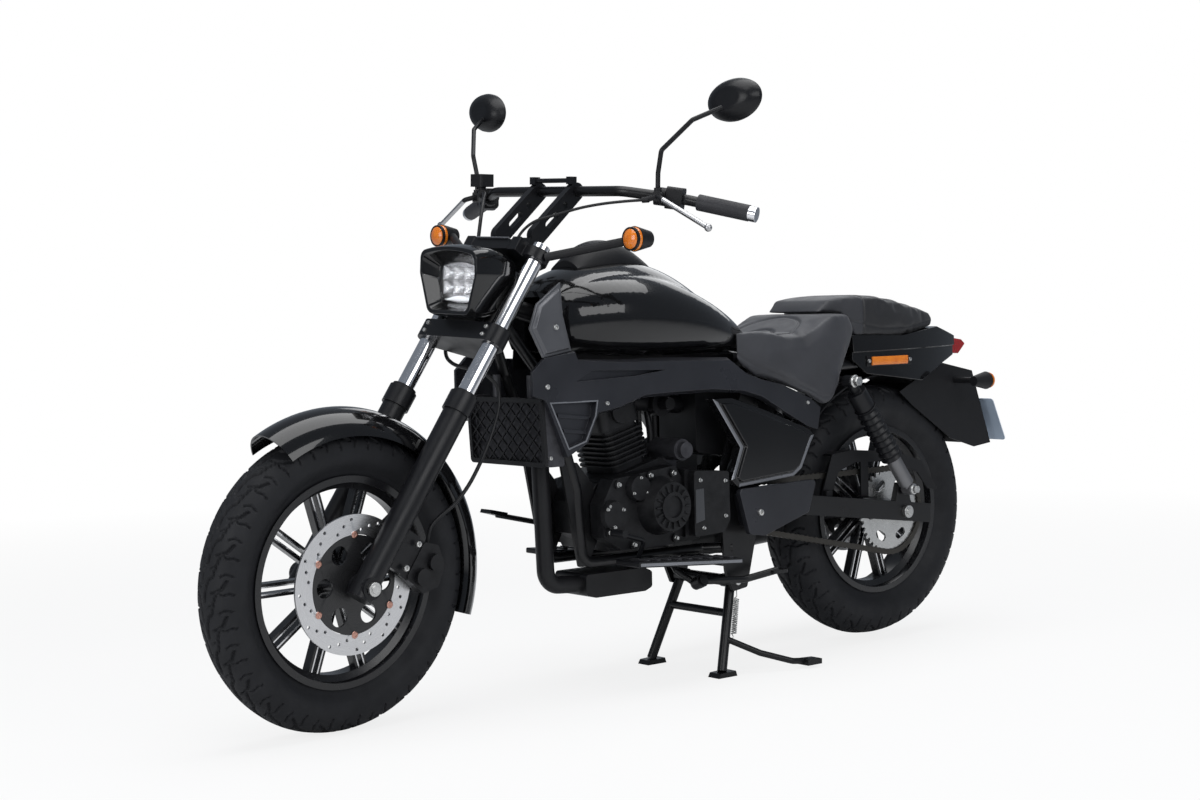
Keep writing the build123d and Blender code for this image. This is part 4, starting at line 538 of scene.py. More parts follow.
ALONG_AXLE = radians(90), 0, 0
FORK_TURN = (STEERED.to_3x3() @ Matrix.Rotation(radians(90), 3, "X")).to_euler()[:]
FINISH = {
    "gloss_black": lacquer("gloss_black_lacquer", (0.004, 0.004, 0.0045)),
    "satin_black": satin("satin_black_paint", (0.0045, 0.0047, 0.0058), 0.36),
    "frame_black": satin("frame_black_paint", (0.004, 0.004, 0.0046), 0.32, coat=0.15),
    "graphite": satin("graphite_shroud", (0.024, 0.025, 0.030), 0.33, metal=0.5, coat=0.25),
    "light_graphite": satin("light_graphite", (0.085, 0.087, 0.095), 0.34, metal=0.4, coat=0.2),
    "wheel_black": satin("wheel_black_paint", (0.006, 0.006, 0.007), 0.28, coat=0.4),
    "engine_black": casting("engine_black_casting", (0.0055, 0.0056, 0.0066), 0.44),
    "engine_grey": casting("engine_grey_casting", (0.04, 0.04, 0.045), 0.42, 0.5),
    "plastic": satin("grained_black_plastic", (0.0055, 0.0056, 0.0066), 0.5, grain=1400),
    "chrome": metal("polished_chrome", (0.83, 0.83, 0.85), 0.05, (1, 1, 0.1), 200, 0.000005),
    "steel": metal("bright_steel", (0.5, 0.5, 0.51), 0.26, depth=0.000006),
    "zinc": metal("zinc_plate", (0.6, 0.6, 0.59), 0.28, (1, 1, 1), 300, 0.00001),
    "machined": metal("machined_aluminium", (0.72, 0.72, 0.73), 0.2, (8, 8, 1), 500),
    "chain": metal("chain_steel", (0.07, 0.066, 0.06), 0.4, scale=300),
    "alloy": satin("grey_alloy", (0.13, 0.13, 0.135), 0.38, metal=0.7),
    "tyre": rubber("tyre_rubber", (0.0065, 0.0069, 0.0085), 0.66),
    "grip": rubber("grip_rubber", (0.022, 0.022, 0.025), 0.55),
    "hose": rubber("hose_rubber", (0.006, 0.006, 0.007), 0.42),
    "vinyl": vinyl("rider_vinyl", (0.026, 0.027, 0.032)),
    "two_tone_vinyl": vinyl("two_tone_vinyl", (0.026, 0.027, 0.032), 480, (0.009, 0.009, 0.011), -0.585),
    "thread": satin("sewing_thread", (0.02, 0.02, 0.024), 0.6),
    "trim_dark": satin("dark_satin_trim", (0.055, 0.057, 0.062), 0.34, metal=0.5, coat=0.2),
    "trim": satin("pale_satin_trim", (0.17, 0.175, 0.19), 0.3, metal=0.6, coat=0.3),
    "red_lens": lens_plastic("red_lens", (0.32, 0.005, 0.006)),
    "amber_lens": lens_plastic("amber_lens", (0.85, 0.2, 0.01)),
    "front_disc": ground("ground_front_disc", (0.62, 0.62, 0.63), STEERED @ FRONT_AXLE, FORK_TURN, 0.0985),
    "rear_disc": ground("ground_rear_disc", (0.6, 0.6, 0.61), REAR_AXLE, ALONG_AXLE, 0.0795),
    "rose_zinc": metal("rose_zinc_plate", (0.55, 0.3, 0.24), 0.26, (1, 1, 1), 300, 0.00001),
    "clear_lens": clear_plastic("clear_lens"),
    "reflector": metal("vacuum_plated_reflector", (0.86, 0.86, 0.88), 0.08, (1, 1, 1), 200, 0.00001),
    # the diode finish carries painted glow: a faint emission, not a lamp
    "diode": painted_glow("white_diode_painted_glow", (0.9, 0.92, 0.95), 0.35),
    "plate": satin("blank_plate_blue_grey", (0.3, 0.36, 0.44), 0.35),
    "exhaust": satin("exhaust_black", (0.007, 0.007, 0.008), 0.42),
    "mirror": Finish("mirror_glass", (0.9, 0.9, 0.92), 0.02, 1.0).material,
}
print(len(FINISH), "finishes")

# %% [markdown]
# ## Rigid pieces that keep their solid shape
# These solids already have the right form. Each gets a welded copy with slightly
# rounded edges and its finish: paint on tubes, sand grain on castings, plating on bolts.

# %% Dress the rigid pieces
DRESS = {   # solid: finish, edge radius in millimetres
    "front_wheel": ("wheel_black", 0.8), "front_disc": ("front_disc", 0.0), "rear_wheel": ("wheel_black", 0.8),
    "rear_disc": ("rear_disc", 0.0), "rear_sprocket": ("zinc", 0.3), "chain": ("chain", 0.0),
    "fork_sliders": ("satin_black", 0.8), "fork_tubes": ("chrome", 0.5), "fork_yokes": ("satin_black", 1.0),
    "front_axle": ("zinc", 0.6), "front_mudguard": ("gloss_black", 0.5), "front_caliper": ("engine_black", 1.0),
    "headlamp_shell": ("gloss_black", 1.2), "handlebar": ("frame_black", 0.0),
    "handlebar_risers": ("satin_black", 1.0), "grips": ("grip", 0.5), "hand_controls": ("plastic", 0.8),
    "mirrors": ("satin_black", 0.8), "front_indicators": ("plastic", 0.8), "frame": ("frame_black", 0.6),
    "rear_subframe": ("frame_black", 0.6), "swingarm": ("frame_black", 1.0), "pivot_bolts": ("zinc", 0.8),
    "rear_axle": ("zinc", 0.6), "rear_shocks": ("satin_black", 0.6), "shock_springs": ("satin_black", 0.5),
    "engine_crankcase": ("engine_black", 1.2), "engine_cylinder": ("engine_black", 1.0),
    "left_engine_cover": ("engine_black", 1.4), "right_engine_cover": ("engine_black", 1.4),
    "starter_motor": ("engine_grey", 1.0), "intake": ("plastic", 1.2), "radiator": ("engine_grey", 0.8),
    "radiator_guard": ("plastic", 0.3), "fuel_tank": ("gloss_black", 1.0), "tank_console": ("plastic", 1.0),
    "side_shrouds": ("graphite", 1.6), "side_covers": ("gloss_black", 1.6), "pivot_covers": ("graphite", 1.6),
    "tail_cowl": ("gloss_black", 1.4), "tail_lamp": ("red_lens", 1.0), "rear_mudguard": ("plastic", 1.0),
    "neck_covers": ("light_graphite", 1.4), "front_brake_hose": ("hose", 0.0), "clutch_cable": ("hose", 0.0),
    "number_plate": ("plate", 0.3), "rear_indicators": ("plastic", 0.8), "exhaust_header": ("exhaust", 0.6),
    "silencer": ("exhaust", 0.6), "chain_guard": ("plastic", 0.6), "footboards": ("satin_black", 1.0),
    "centre_stand": ("frame_black", 0.8), "side_stand": ("frame_black", 0.8),
}
DRESSED = {node: dress(node, FINISH[name], edge) for node, (name, edge) in DRESS.items()}
print(len(DRESSED), "solids dressed")

# %% [markdown]
# ## Pieces with two finishes
# Some castings carry a part of another metal: the bright lever blades, the pale plate on
# the upper yoke, the chromed bar ends and the grey lower halves of the shock absorbers.
# Their faces are told apart by where they lie.

# %% Second finishes
UNSTEERED = STEERED.inverted()
SHOCK_TOP, SHOCK_LOW = Vector((-483, 158, 644)), Vector((-681, 158, 378))
SHOCK_AXIS = (SHOCK_TOP - SHOCK_LOW).normalized()
CASING = 100    # millimetres: the grey lower half of a shock absorber, from its lower eye


def straight(test):
    """Lets a test written straight ahead be used on a turned piece."""
    return lambda p: test((UNSTEERED @ (p * MM)) / MM)


def lever_blade(p):
    """Ahead of the bar, outside the housings and under a line that rises outwards."""
    side = abs(p.y)
    return p.x > 218 and side > 272 and p.z < min(1058, 1040 + 0.1 * (side - 270))


def yoke_face(p):
    """High on the fork, ahead of its legs and between them."""
    offset = p - FRONT_AXLE / MM
    return offset.dot(UP_FORK) > 780 and offset.dot(FORK_FRONT) > 18 and abs(p.y) < 60


def bar_end(p):
    """Outside a plane across each grip's end, which leans with the bar."""
    return (abs(p.y) - 441) * 0.9 - (p.z - 1034) * 0.15 > 0.6


def shock_casing(p):
    """Near the lower eye, along the shock absorber's axis on either side."""
    return (p - Vector((SHOCK_LOW.x, p.y, SHOCK_LOW.z))).dot(SHOCK_AXIS) < CASING


second(DRESSED["hand_controls"], FINISH["steel"], straight(lever_blade))
second(DRESSED["fork_yokes"], FINISH["light_graphite"], straight(yoke_face))
second(DRESSED["grips"], FINISH["chrome"], straight(bar_end))
second(DRESSED["rear_shocks"], FINISH["alloy"], shock_casing)
print(len(DRESSED["hand_controls"].data.materials), "finishes on the hand controls")

# %% [markdown]
# ## Trees that repeat a shape
# Screws, tread, springs and stitches are one small shape many times over. Copying them
# by hand would fix their number; a Geometry Nodes tree keeps the number and the spacing
# as named inputs. Three trees are made here: one turns a sector about an axle, one stands
# a fastener on each point of a host mesh, and one draws a wire along a host's edges. The
# seats add a fourth, for stitches.

# %% Helpers for Geometry Nodes
class Grower:
    """A Geometry Nodes tree under construction, with its sizes as named inputs."""

    def __init__(self, name, **sizes):
        self.tree = bpy.data.node_groups.new(name, "GeometryNodeTree")
        face = self.tree.interface
        face.new_socket("Geometry", in_out="OUTPUT", socket_type="NodeSocketGeometry")
        for key, kind in {"Geometry": "Geometry", **sizes, "Finish": "Material"}.items():
            face.new_socket(key, in_out="INPUT", socket_type="NodeSocket" + kind)
        self.given = self.tree.nodes.new("NodeGroupInput").outputs
        self.result = self.tree.nodes.new("NodeGroupOutput").inputs

    def node(self, kind, inputs=(), **settings):
        return add_node(self.tree, kind, inputs, **settings)

    def end(self, geometry):
        """Turns instances into real mesh, gives the finish and closes the tree."""
        real = self.node("GeometryNodeRealizeInstances", {"Geometry": geometry})
        dressed = self.node("GeometryNodeSetMaterial",
                            {"Geometry": real.outputs[0], "Material": self.given["Finish"]})
        self.tree.links.new(dressed.outputs[0], self.result[0])
        return self.tree


def grow(name, tree, host, body, finish, slot, *instead_of, shape=None, place=None, angle=SHARP, **sizes):
    """Runs a tree on a host mesh, with the shape it repeats, and keeps the result as one plain mesh."""
    start = linked(name + "_host", host)
    modifier = start.modifiers.new("grow", "NODES")
    modifier.node_group = tree
    values = {**sizes, "Finish": FINISH[finish]}
    if shape:
        values["Shape"] = mesh_piece(name + "_shape", shape, angle)
    for item in tree.interface.items_tree:
        if item.in_out == "INPUT" and item.name in values:
            modifier[item.identifier] = values[item.name]
    bpy.context.view_layer.update()
    ready = start.evaluated_get(bpy.context.evaluated_depsgraph_get())
    mesh = bpy.data.meshes.new_from_object(ready)
    start.modifiers.remove(modifier)
    bpy.data.objects.remove(start)
    if shape:
        bpy.data.objects.remove(values["Shape"])
    if place is not None:
        mesh.transform(place)
    smooth(mesh, angle)
    return keep(outward(linked(name, mesh)), body, FINISH[finish], slot, *instead_of)


around = Grower("sector_around_axle", Shape="Object", Count="Int", Weld="Float")
line = around.node("GeometryNodeMeshLine", {"Count": around.given["Count"], "Offset": (0, 0, 0)})
index = around.node("GeometryNodeInputIndex")
step = around.node("ShaderNodeMath", {0: 2 * pi, 1: around.given["Count"]}, operation="DIVIDE")
turn = around.node("ShaderNodeMath", {0: index.outputs[0], 1: step.outputs[0]}, operation="MULTIPLY")
spin = around.node("ShaderNodeCombineXYZ", {"Z": turn.outputs[0]})
sector = around.node("GeometryNodeObjectInfo", {"Object": around.given["Shape"]})
copies = around.node("GeometryNodeInstanceOnPoints", {
    "Points": line.outputs[0], "Instance": sector.outputs["Geometry"], "Rotation": spin.outputs[0]})
real = around.node("GeometryNodeRealizeInstances", {"Geometry": copies.outputs[0]})
one_mesh = around.node("GeometryNodeMergeByDistance", {
    "Geometry": real.outputs[0], "Distance": around.given["Weld"]})
AROUND = around.end(one_mesh.outputs[0])

studs = Grower("fastener_on_point", Shape="Object")
facing = studs.node("GeometryNodeInputNamedAttribute", {"Name": "facing"}, data_type="FLOAT_VECTOR")
wide = studs.node("GeometryNodeInputNamedAttribute", {"Name": "size"}, data_type="FLOAT")
stand = studs.node("FunctionNodeAlignRotationToVector", {"Vector": facing.outputs[0]}, axis="Z")
head = studs.node("GeometryNodeObjectInfo", {"Object": studs.given["Shape"]})
placed = studs.node("GeometryNodeInstanceOnPoints", {
    "Points": studs.given["Geometry"], "Instance": head.outputs["Geometry"],
    "Rotation": stand.outputs[0], "Scale": wide.outputs[0]})
STUDS = studs.end(placed.outputs[0])

wires = Grower("wire_along_edges", Radius="Float", Sides="Int")
path = wires.node("GeometryNodeMeshToCurve", {"Mesh": wires.given["Geometry"]})
ring = wires.node("GeometryNodeCurvePrimitiveCircle", {
    "Resolution": wires.given["Sides"], "Radius": wires.given["Radius"]})
drawn = wires.node("GeometryNodeCurveToMesh", {
    "Curve": path.outputs[0], "Profile Curve": ring.outputs[0], "Fill Caps": True})
WIRES = wires.end(drawn.outputs[0])


def host_points(rows):
    """A host mesh of points: place, the way it faces and its width, lengths in millimetres."""
    mesh = bpy.data.meshes.new("host_points")
    mesh.from_pydata([tuple(Vector(place) * MM) for place, way, width in rows], [], [])
    ways = mesh.attributes.new("facing", "FLOAT_VECTOR", "POINT")
    ways.data.foreach_set("vector", [c for place, way, width in rows for c in Vector(way).normalized()])
    widths = mesh.attributes.new("size", "FLOAT", "POINT")
    widths.data.foreach_set("value", [width * MM for place, way, width in rows])
    return mesh


def host_lines(lines):
    """A host mesh of edges along each line of points, in metres."""
    points, edges = [], []
    for line in lines:
        edges += [(len(points) + i, len(points) + i + 1) for i in range(len(line) - 1)]
        points += [tuple(p) for p in line]
    mesh = bpy.data.meshes.new("host_lines")
    mesh.from_pydata(points, edges, [])
    return mesh


EMPTY = bpy.data.meshes.new("empty_host")
print(len(bpy.data.node_groups), "trees")

# %% [markdown]
# ## Tyres with a cruiser tread
# A moulded tread is the same short pitch all the way round, so only one pitch is
# modelled: a grid whose points sink where they lie near a groove line. The tree above
# then turns that pitch about the axle and welds the seams, which keeps the ring closed.

# %% One pitch of tread
GROOVES = [     # along the pitch and across the crown as shares; half width and depth in mm
    ([(-0.10, 0.05), (0.30, 0.10), (0.52, 0.18), (0.60, 0.30)], 2.4, 4.4),
    ([(0.60, 0.30), (0.95, 0.38), (1.22, 0.46), (1.30, 0.60), (1.52, 0.72)], 2.4, 4.4),
    ([(0.16, 0.28), (0.22, 0.44), (0.12, 0.62), (0.18, 0.82), (0.14, 0.96)], 1.9, 3.6),
    ([(0.62, 0.52), (0.72, 0.70), (0.66, 0.90)], 1.7, 3.2),
    ([(0.78, 0.14), (0.86, 0.27)], 1.5, 2.6),
]
TYRES = {   # wheel: radius, width, rim radius, half rim, pitches, and columns and rows of one pitch
    "front": (302, 110, 212, 38, 26, 30, 56),
    "rear": (307.5, 130, 204, 50, 24, 32, 60),
}
WALL_STARTS, WALL_RUN = 0.9, 1.4    # millimetres: a groove's wall begins outside its half width
CROWN_SHARE = 0.65      # the grooved crown reaches this share of the width to each side


def from_line(points, line):
    """Distance of each point of an array from a line of corners, in the array's own units."""
    best = np.full(len(points), 1e9)
    for (ax, ay), (bx, by) in zip(line, line[1:]):
        run = np.array((bx - ax, by - ay))
        start = points - np.array((ax, ay))
        share = np.clip(start @ run / max(run @ run, 1e-12), 0, 1)
        best = np.minimum(best, np.hypot(*(start - share[:, None] * run).T))
    return best


def tyre_profile(radius, width, rim_r, half_rim):
    """Half of the tyre's section from the bead to the middle, as smooth (radius, side) points."""
    tall, half = radius - rim_r, width / 2
    bead = [(rim_r - 8, half_rim - 8), (rim_r + 1.5, half_rim - 5), (rim_r + 7, half_rim - 2.5)]
    wall = [(rim_r + up * tall, out * half) for up, out in ((0.30, 0.97), (0.52, 1.0), (0.70, 0.93), (0.87, 0.72))]
    return np.array(rounded(bead + wall + [(radius - 0.035 * tall, 0.36 * half), (radius, 0.0)]))


def tread_pitch(radius, width, rim_r, half_rim, pitches, columns, rows):
    """One pitch of a tyre about its own Z axis, grooves sunk into the crown."""
    half_line = tyre_profile(radius, width, rim_r, half_rim)
    line = np.vstack([half_line, (half_line * (1, -1))[-2::-1]])
    along = np.concatenate([[0], np.cumsum(np.hypot(*np.diff(line, axis=0).T))])
    crown_half = CROWN_SHARE * width
    middle = along[-1] / 2
    dense = np.linspace(middle - crown_half, middle + crown_half, rows)
    side = np.linspace(0, middle - crown_half, 9)[:-1]
    stations = np.concatenate([side, dense, along[-1] - side[::-1]])
    r_at, y_at = np.interp(stations, along, line[:, 0]), np.interp(stations, along, line[:, 1])
    pitch = 2 * pi * radius / pitches
    share = np.repeat(np.linspace(0, 1, columns + 1), len(stations))
    across = np.tile((stations - middle) / crown_half, columns + 1)
    depth = np.zeros(len(share))
    for corners, half_width, deep in GROOVES:
        for sign, shift in ((1, 0), (-1, 0.5)):
            for wrap in (-2, -1, 0, 1):
                path = [((u + shift + wrap) * pitch, sign * v * crown_half) for u, v in corners]
                gap = from_line(np.column_stack([share * pitch, across * crown_half]), path)
                depth = np.maximum(depth, deep * np.clip((half_width + WALL_STARTS - gap) / WALL_RUN, 0, 1))
    angle = share * 2 * pi / pitches
    slope = np.gradient(y_at), -np.gradient(r_at)
    size = np.hypot(*slope) * (-1 if slope[0][len(stations) // 2] < 0 else 1)
    r = np.tile(r_at, columns + 1) - np.tile(slope[0] / size, columns + 1) * depth
    y = np.tile(y_at, columns + 1) - np.tile(slope[1] / size, columns + 1) * depth
    points = np.column_stack([r * np.cos(angle), r * np.sin(angle), y]) * MM
    n = len(stations)
    faces = [(c * n + i, (c + 1) * n + i, (c + 1) * n + i + 1, c * n + i + 1)
             for c in range(columns) for i in range(n - 1)]
    seal = [(c * n, c * n + n - 1, (c + 1) * n + n - 1, (c + 1) * n) for c in range(columns)]
    return points, faces + seal


for wheel, sizes in TYRES.items():
    tyre = grow(wheel + "_tyre_tread", AROUND, EMPTY, wheel + "_wheel_set", "tyre", "tyre", wheel + "_tyre",
                shape=tread_pitch(*sizes), place=WHEEL_PLACE[wheel], angle=30, Count=sizes[4], Weld=0.00002)
    print(tyre.name, len(tyre.data.polygons), "faces")

# %% [markdown]
# ## Bright edges of the cast wheels
# After painting, the foundry turns the inner edges of each pair of spokes, so a thin
# bright line runs along each bar. One pair's lines are modelled as slim closed strips in
# the wheel's own plane, and the sector tree repeats them for all the pairs.

# %% Machined spoke edges
SPOKE_GAP, SPOKE_W, SPOKE_T = 20, 8, 22
EDGE_W, EDGE_PROUD, EDGE_DEEP = 2.4, 0.35, 2.0
SPOKE_PAIRS = 10
SPOKE_REACH = {"front": (44, 186), "rear": (60, 176)}

for wheel, (inner, outer) in SPOKE_REACH.items():
    shapes = []
    for side in (-1, 1):
        near = side * (SPOKE_GAP - SPOKE_W) / 2
        corners = [(inner, near - side * EDGE_PROUD), (outer, near - side * EDGE_PROUD),
                   (outer, near + side * EDGE_W), (inner, near + side * EDGE_W)]
        for face in (-1, 1):
            top = face * (SPOKE_T / 2 + EDGE_PROUD)
            shapes.append(strip(corners, *sorted((top, top - face * EDGE_DEEP))))
    edges = grow(wheel + "_spoke_edges", AROUND, EMPTY, wheel + "_wheel_set", "machined", "wheel_black",
                 shape=joined(shapes), place=WHEEL_PLACE[wheel], Count=SPOKE_PAIRS, Weld=0.000001)
    print(edges.name, len(edges.data.polygons), "faces")

# %% [markdown]
# ## Screws, bolts and rivets
# Every bright fastener is one of three heads: a socket cap, a flanged hexagon and a
# brake-disc rivet. Each head is modelled once, one unit across, and the fastener tree
# stands a copy on each point of a host mesh, turned to face outwards.

# %% Three fastener heads
LEFT = (0, 1, 0)
CAP = turned_profile([(0, -0.1), (0.5, -0.1), (0.5, 0.28), (0.44, 0.38), (0.27, 0.4), (0.24, 0.36), (0.22, 0.12),
                      (0, 0.12)], 16)
RIVET = turned_profile([(0, -0.04), (0.5, -0.04), (0.5, 0.03), (0.44, 0.06), (0.36, 0.08), (0.24, 0.08), (0.2, 0.04),
                        (0, 0.04)], 18)


def hexagon_head(sides=12):
    """A flanged hexagon head, half a unit in radius at its flange: every second corner stands out."""
    rings = [[(0, 0, -0.1)]]
    for r, z, corner in ((0.5, -0.1, 1), (0.5, 0.05, 1), (0.42, 0.12, 1), (0.36, 0.12, 1.12), (0.36, 0.42, 1.12),
                         (0.31, 0.5, 1.12)):
        reach = [r if i % 2 else r * corner for i in range(sides)]
        rings.append([(reach[i] * cos(2 * pi * i / sides), reach[i] * sin(2 * pi * i / sides), z)
                      for i in range(sides)])
    return stacked(rings + [[(0, 0, 0.5)]])


HEX = hexagon_head()


def fasteners(name, head, rows, body="frame", finish="zinc", place=None):
    """Stands fasteners on (place, facing, width) rows given in millimetres."""
    return grow(name, STUDS, host_points(rows), body, finish, "steel", shape=head, place=place)


def pair_of(rows):
    """The rows and their mirror images on the right side."""
    return rows + [((x, -y, z), (a, -b, c), w) for (x, y, z), (a, b, c), w in rows]


def bolt_ring(x, y, z, radius, width, turns):
    """Rows of bolts about a middle, facing left, at turns in radians."""
    return [((x + radius * cos(a), y, z + radius * sin(a)), LEFT, width) for a in turns]


BODY_SCREWS = pair_of([
    ((396, 142.5, 668), LEFT, 11), ((250, 157.5, 628), LEFT, 9), ((372, 144.5, 790), LEFT, 12),
    ((-362, 137.5, 600), LEFT, 9), ((-190, 154.2, 362), LEFT, 15), ((384, 132.5, 624), LEFT, 9),
    ((384, 132.5, 520), LEFT, 9)])
COVER_BOLTS = [     # side, facing, width and the (x, z) places on one engine cover
    (118.5, LEFT, 11, [(216, 350), (219, 406), (190, 450), (100, 464), (34, 464), (150, 318), (30, 322)]),
    (142.3, LEFT, 9, [(-22, 446), (-96, 440), (-96, 362), (-30, 340)]),
    (-121.4, (0, -1, 0), 10, [(186, 346), (188, 402), (166, 440), (22, 462), (-58, 440), (-88, 380), (-60, 322),
                              (60, 314), (172, 318)]),
]
ENGINE_BOLTS = [((x, y, z), way, width) for y, way, width, places in COVER_BOLTS for x, z in places]
ENGINE_BOLTS += bolt_ring(206, 124.4, 386, 25, 8, (0.6, 2.7, 4.8))
ENGINE_BOLTS += bolt_ring(138, 130.4, 440, 22, 7, (1.6, 3.7, 5.8))
SHOCK_NUTS = pair_of([((SHOCK_TOP.x, 173, SHOCK_TOP.z), LEFT, 30), ((SHOCK_LOW.x, 173, SHOCK_LOW.z), LEFT, 24)])
FORK_BOLTS = [(on_fork(27.6, side * 93, up) / MM, FORK_FRONT, 9) for up in (567, 585) for side in (-1, 1)]
FORK_BOLTS += [(on_fork(-54, 116, up) / MM, LEFT, 13) for up in (74, 128)]
RIVET_RINGS = {"front": (99, 66.25), "rear": (80, -67.5)}    # radius; how far left of the wheel's middle
RIVET_WIDE, RIVET_TURNS = 15, np.radians(range(30, 390, 60))
fasteners("body_screws", CAP, BODY_SCREWS)
fasteners("engine_bolts", HEX, ENGINE_BOLTS)
fasteners("shock_nuts", HEX, SHOCK_NUTS)
for wheel, (radius, off) in RIVET_RINGS.items():
    # A height on the wheel's axis runs to the right, so a rivet on the left stands at -off.
    rows = [((radius * cos(a), radius * sin(a), -off), (0, 0, -off), RIVET_WIDE) for a in RIVET_TURNS]
    fasteners(wheel + "_disc_rivets", RIVET, rows, wheel + "_wheel_set", "rose_zinc", WHEEL_PLACE[wheel])
fasteners("fork_bolts", CAP, FORK_BOLTS, "steering", place=STEERED)
print(len(BODY_SCREWS) + len(ENGINE_BOLTS), "fasteners on the body and engine")

# %% [markdown]
# ## The headlamp's inside
# Under a clear outer lens sit six bowl reflectors with a small diode each, over a light
# bar. A bowl is a grid that rises towards its rim in flat facets, so it throws small
# bright flashes. The clear lens bulges a little, as a moulded one does.

# %% Headlamp optics
LENS_X = 519        # millimetres: the lens's plane, straight ahead
BOWL_FRONT, BOWL_BACK, DIODE_X = LENS_X - 10.6, LENS_X - 11.5, LENS_X - 10.4
SHIELD = {"half_top": 62, "half_low": 50, "low": 842, "top": 930}
BOWL_PLACES = [(y, z) for z in (905, 876) for y in (-33, 0, 33)]


def shield_outline(half_top, half_low, low, top, shrink, count=64):
    """A lens's outline as even points: arched brow and narrower chin, drawn in by a distance."""
    middle, tall = (low + top) / 2, (top - low) / 2 - shrink
    side, chin = half_top - shrink, half_low - shrink
    brow = [(side * t, tall - 10 * t * t) for t in np.linspace(-1, 1, 17)]
    line = rounded(brow + [(side + 2, 0.2 * tall), (chin, -tall), (-chin, -tall), (-side - 2, 0.2 * tall)], closed=True)
    closed = np.array(line + line[:1])
    along = np.concatenate([[0], np.cumsum(np.hypot(*np.diff(closed, axis=0).T))])
    steps = np.linspace(0, along[-1], count + 1)[:-1]
    return [(np.interp(s, along, closed[:, 0]), np.interp(s, along, closed[:, 1]) + middle) for s in steps]


def shell_of(outline, back, front, bulge, rings=6):
    """A closed lens: the outline drawn at the back, and shrinking rings over a bulge in front."""
    centre = sum(z for y, z in outline) / len(outline)

    def ring(x, share):
        return [mm(x, y * share, centre + (z - centre) * share) for y, z in outline]

    shares = [1 - k / rings for k in range(rings)]
    return stacked([[mm(back, 0, centre)], ring(back, 1)] + [ring(front + bulge * (1 - s * s), s) for s in shares]
                   + [[mm(front + bulge, 0, centre)]])


def bowl(y, z, half_y=15.6, half_z=13.8, deep=7.0, cells=9):
    """A faceted bowl reflector as a closed block with a dished front, its middle low."""
    n = cells + 1
    points, faces = [], []
    for layer in (0, 1):
        for i in range(n):
            for k in range(n):
                u, v = 2 * i / cells - 1, 2 * k / cells - 1
                dish = deep * max(abs(u), abs(v), 0.72 * hypot(u, v)) ** 1.8
                front = BOWL_FRONT + dish + 0.5 * ((i + k) % 2)
                points.append(mm(front if layer else BOWL_BACK, y + u * half_y, z + v * half_z))
        corners = [layer * n * n + i * n + k for i in range(cells) for k in range(cells)]
        faces += [(a, a + n, a + n + 1, a + 1) for a in corners]
    rim = [i * n for i in range(n)] + [(n - 1) * n + k for k in range(1, n)]
    rim += [i * n + n - 1 for i in range(n - 2, -1, -1)] + [k for k in range(n - 2, 0, -1)]
    faces += [(a, b, n * n + b, n * n + a) for a, b in zip(rim, rim[1:] + rim[:1])]
    return points, faces


def diode(y, z):
    """A small domed light in the middle of a bowl."""
    bead = turned_profile([(0, 0), (2.6, 0), (2.4, 1.8), (1.4, 3.0), (0, 3.4)], 12)
    return moved(bead, lambda a, b, c: mm(DIODE_X + c, y + a, z + b))


outer_lens = shell_of(shield_outline(**SHIELD, shrink=0.6), LENS_X - 1.5, LENS_X + 1.0, 6)
back_plate = shell_of(shield_outline(**SHIELD, shrink=3.0), LENS_X - 12, LENS_X - 10.5, 0.2)
light_bar = shell_of(shield_outline(47, 43, 848, 859, 0.2, 40), LENS_X - 10.5, LENS_X - 4.5, 2.0)
finished("headlamp_clear_lens", outer_lens, "clear_lens", "lamp_lens", "headlamp_lens", **FRONT_END)
finished("headlamp_back_plate", back_plate, "reflector", "chrome", **FRONT_END)
finished("headlamp_bowls", joined([bowl(*at) for at in BOWL_PLACES]), "reflector", "chrome", angle=12, **FRONT_END)
# The diodes and the light bar take the diode finish, whose faint emission is painted glow.
finished("headlamp_diodes", joined([diode(*at) for at in BOWL_PLACES]), "diode", "lamp_lens", **FRONT_END)
finished("headlamp_light_bar", light_bar, "diode", "lamp_lens", **FRONT_END)
print("headlamp", len(BOWL_PLACES), "bowls")

# %% [markdown]
# ## Indicator lenses, mirror glass and the side reflectors
# Amber lenses are domes over the ends of black bullets. They are turned shapes, closed
# and slightly bulged. The mirror glass is a thin pane in the back of each teardrop head,
# and the side reflectors are bars that follow the curve of the tail cowl.

# %% Amber lenses and mirror glass
INDICATORS = {      # place on the left, way along X, radius and height, all in millimetres; where it rides
    "front_indicator_lenses": ((316, 308, 980), 1, 24.6, 18, FRONT_END),
    "rear_indicator_lenses": ((-978, 156, 626), -1, 19.5, 9, {}),
}
HEAD_MIDDLE, PANE_BEHIND, PANE_HALF_WIDE, PANE_HALF_TALL = (113, 388, 1265), 7.0, 66, 44
PANE_RINGS = ((0.93, 0.3), (0.93, -0.5), (0.6, -0.9), (0.3, -1.1))      # share of its size; millimetres ahead


def dome(place, way, radius, tall, lip=2.0):
    """A lens dome on a short rim, standing on a place and facing a way."""
    profile = [(0, -1.5), (radius, -1.5), (radius, lip)]
    profile += [(radius * cos(t), lip + (tall - lip) * sin(t)) for t in np.linspace(0.25, 1.4, 6)] + [(0, tall)]
    turn = Vector(way).to_track_quat("Z", "Y").to_matrix()
    return moved(turned_profile(profile, 32), lambda *p: (Vector(place) + turn @ Vector(p)) * MM)


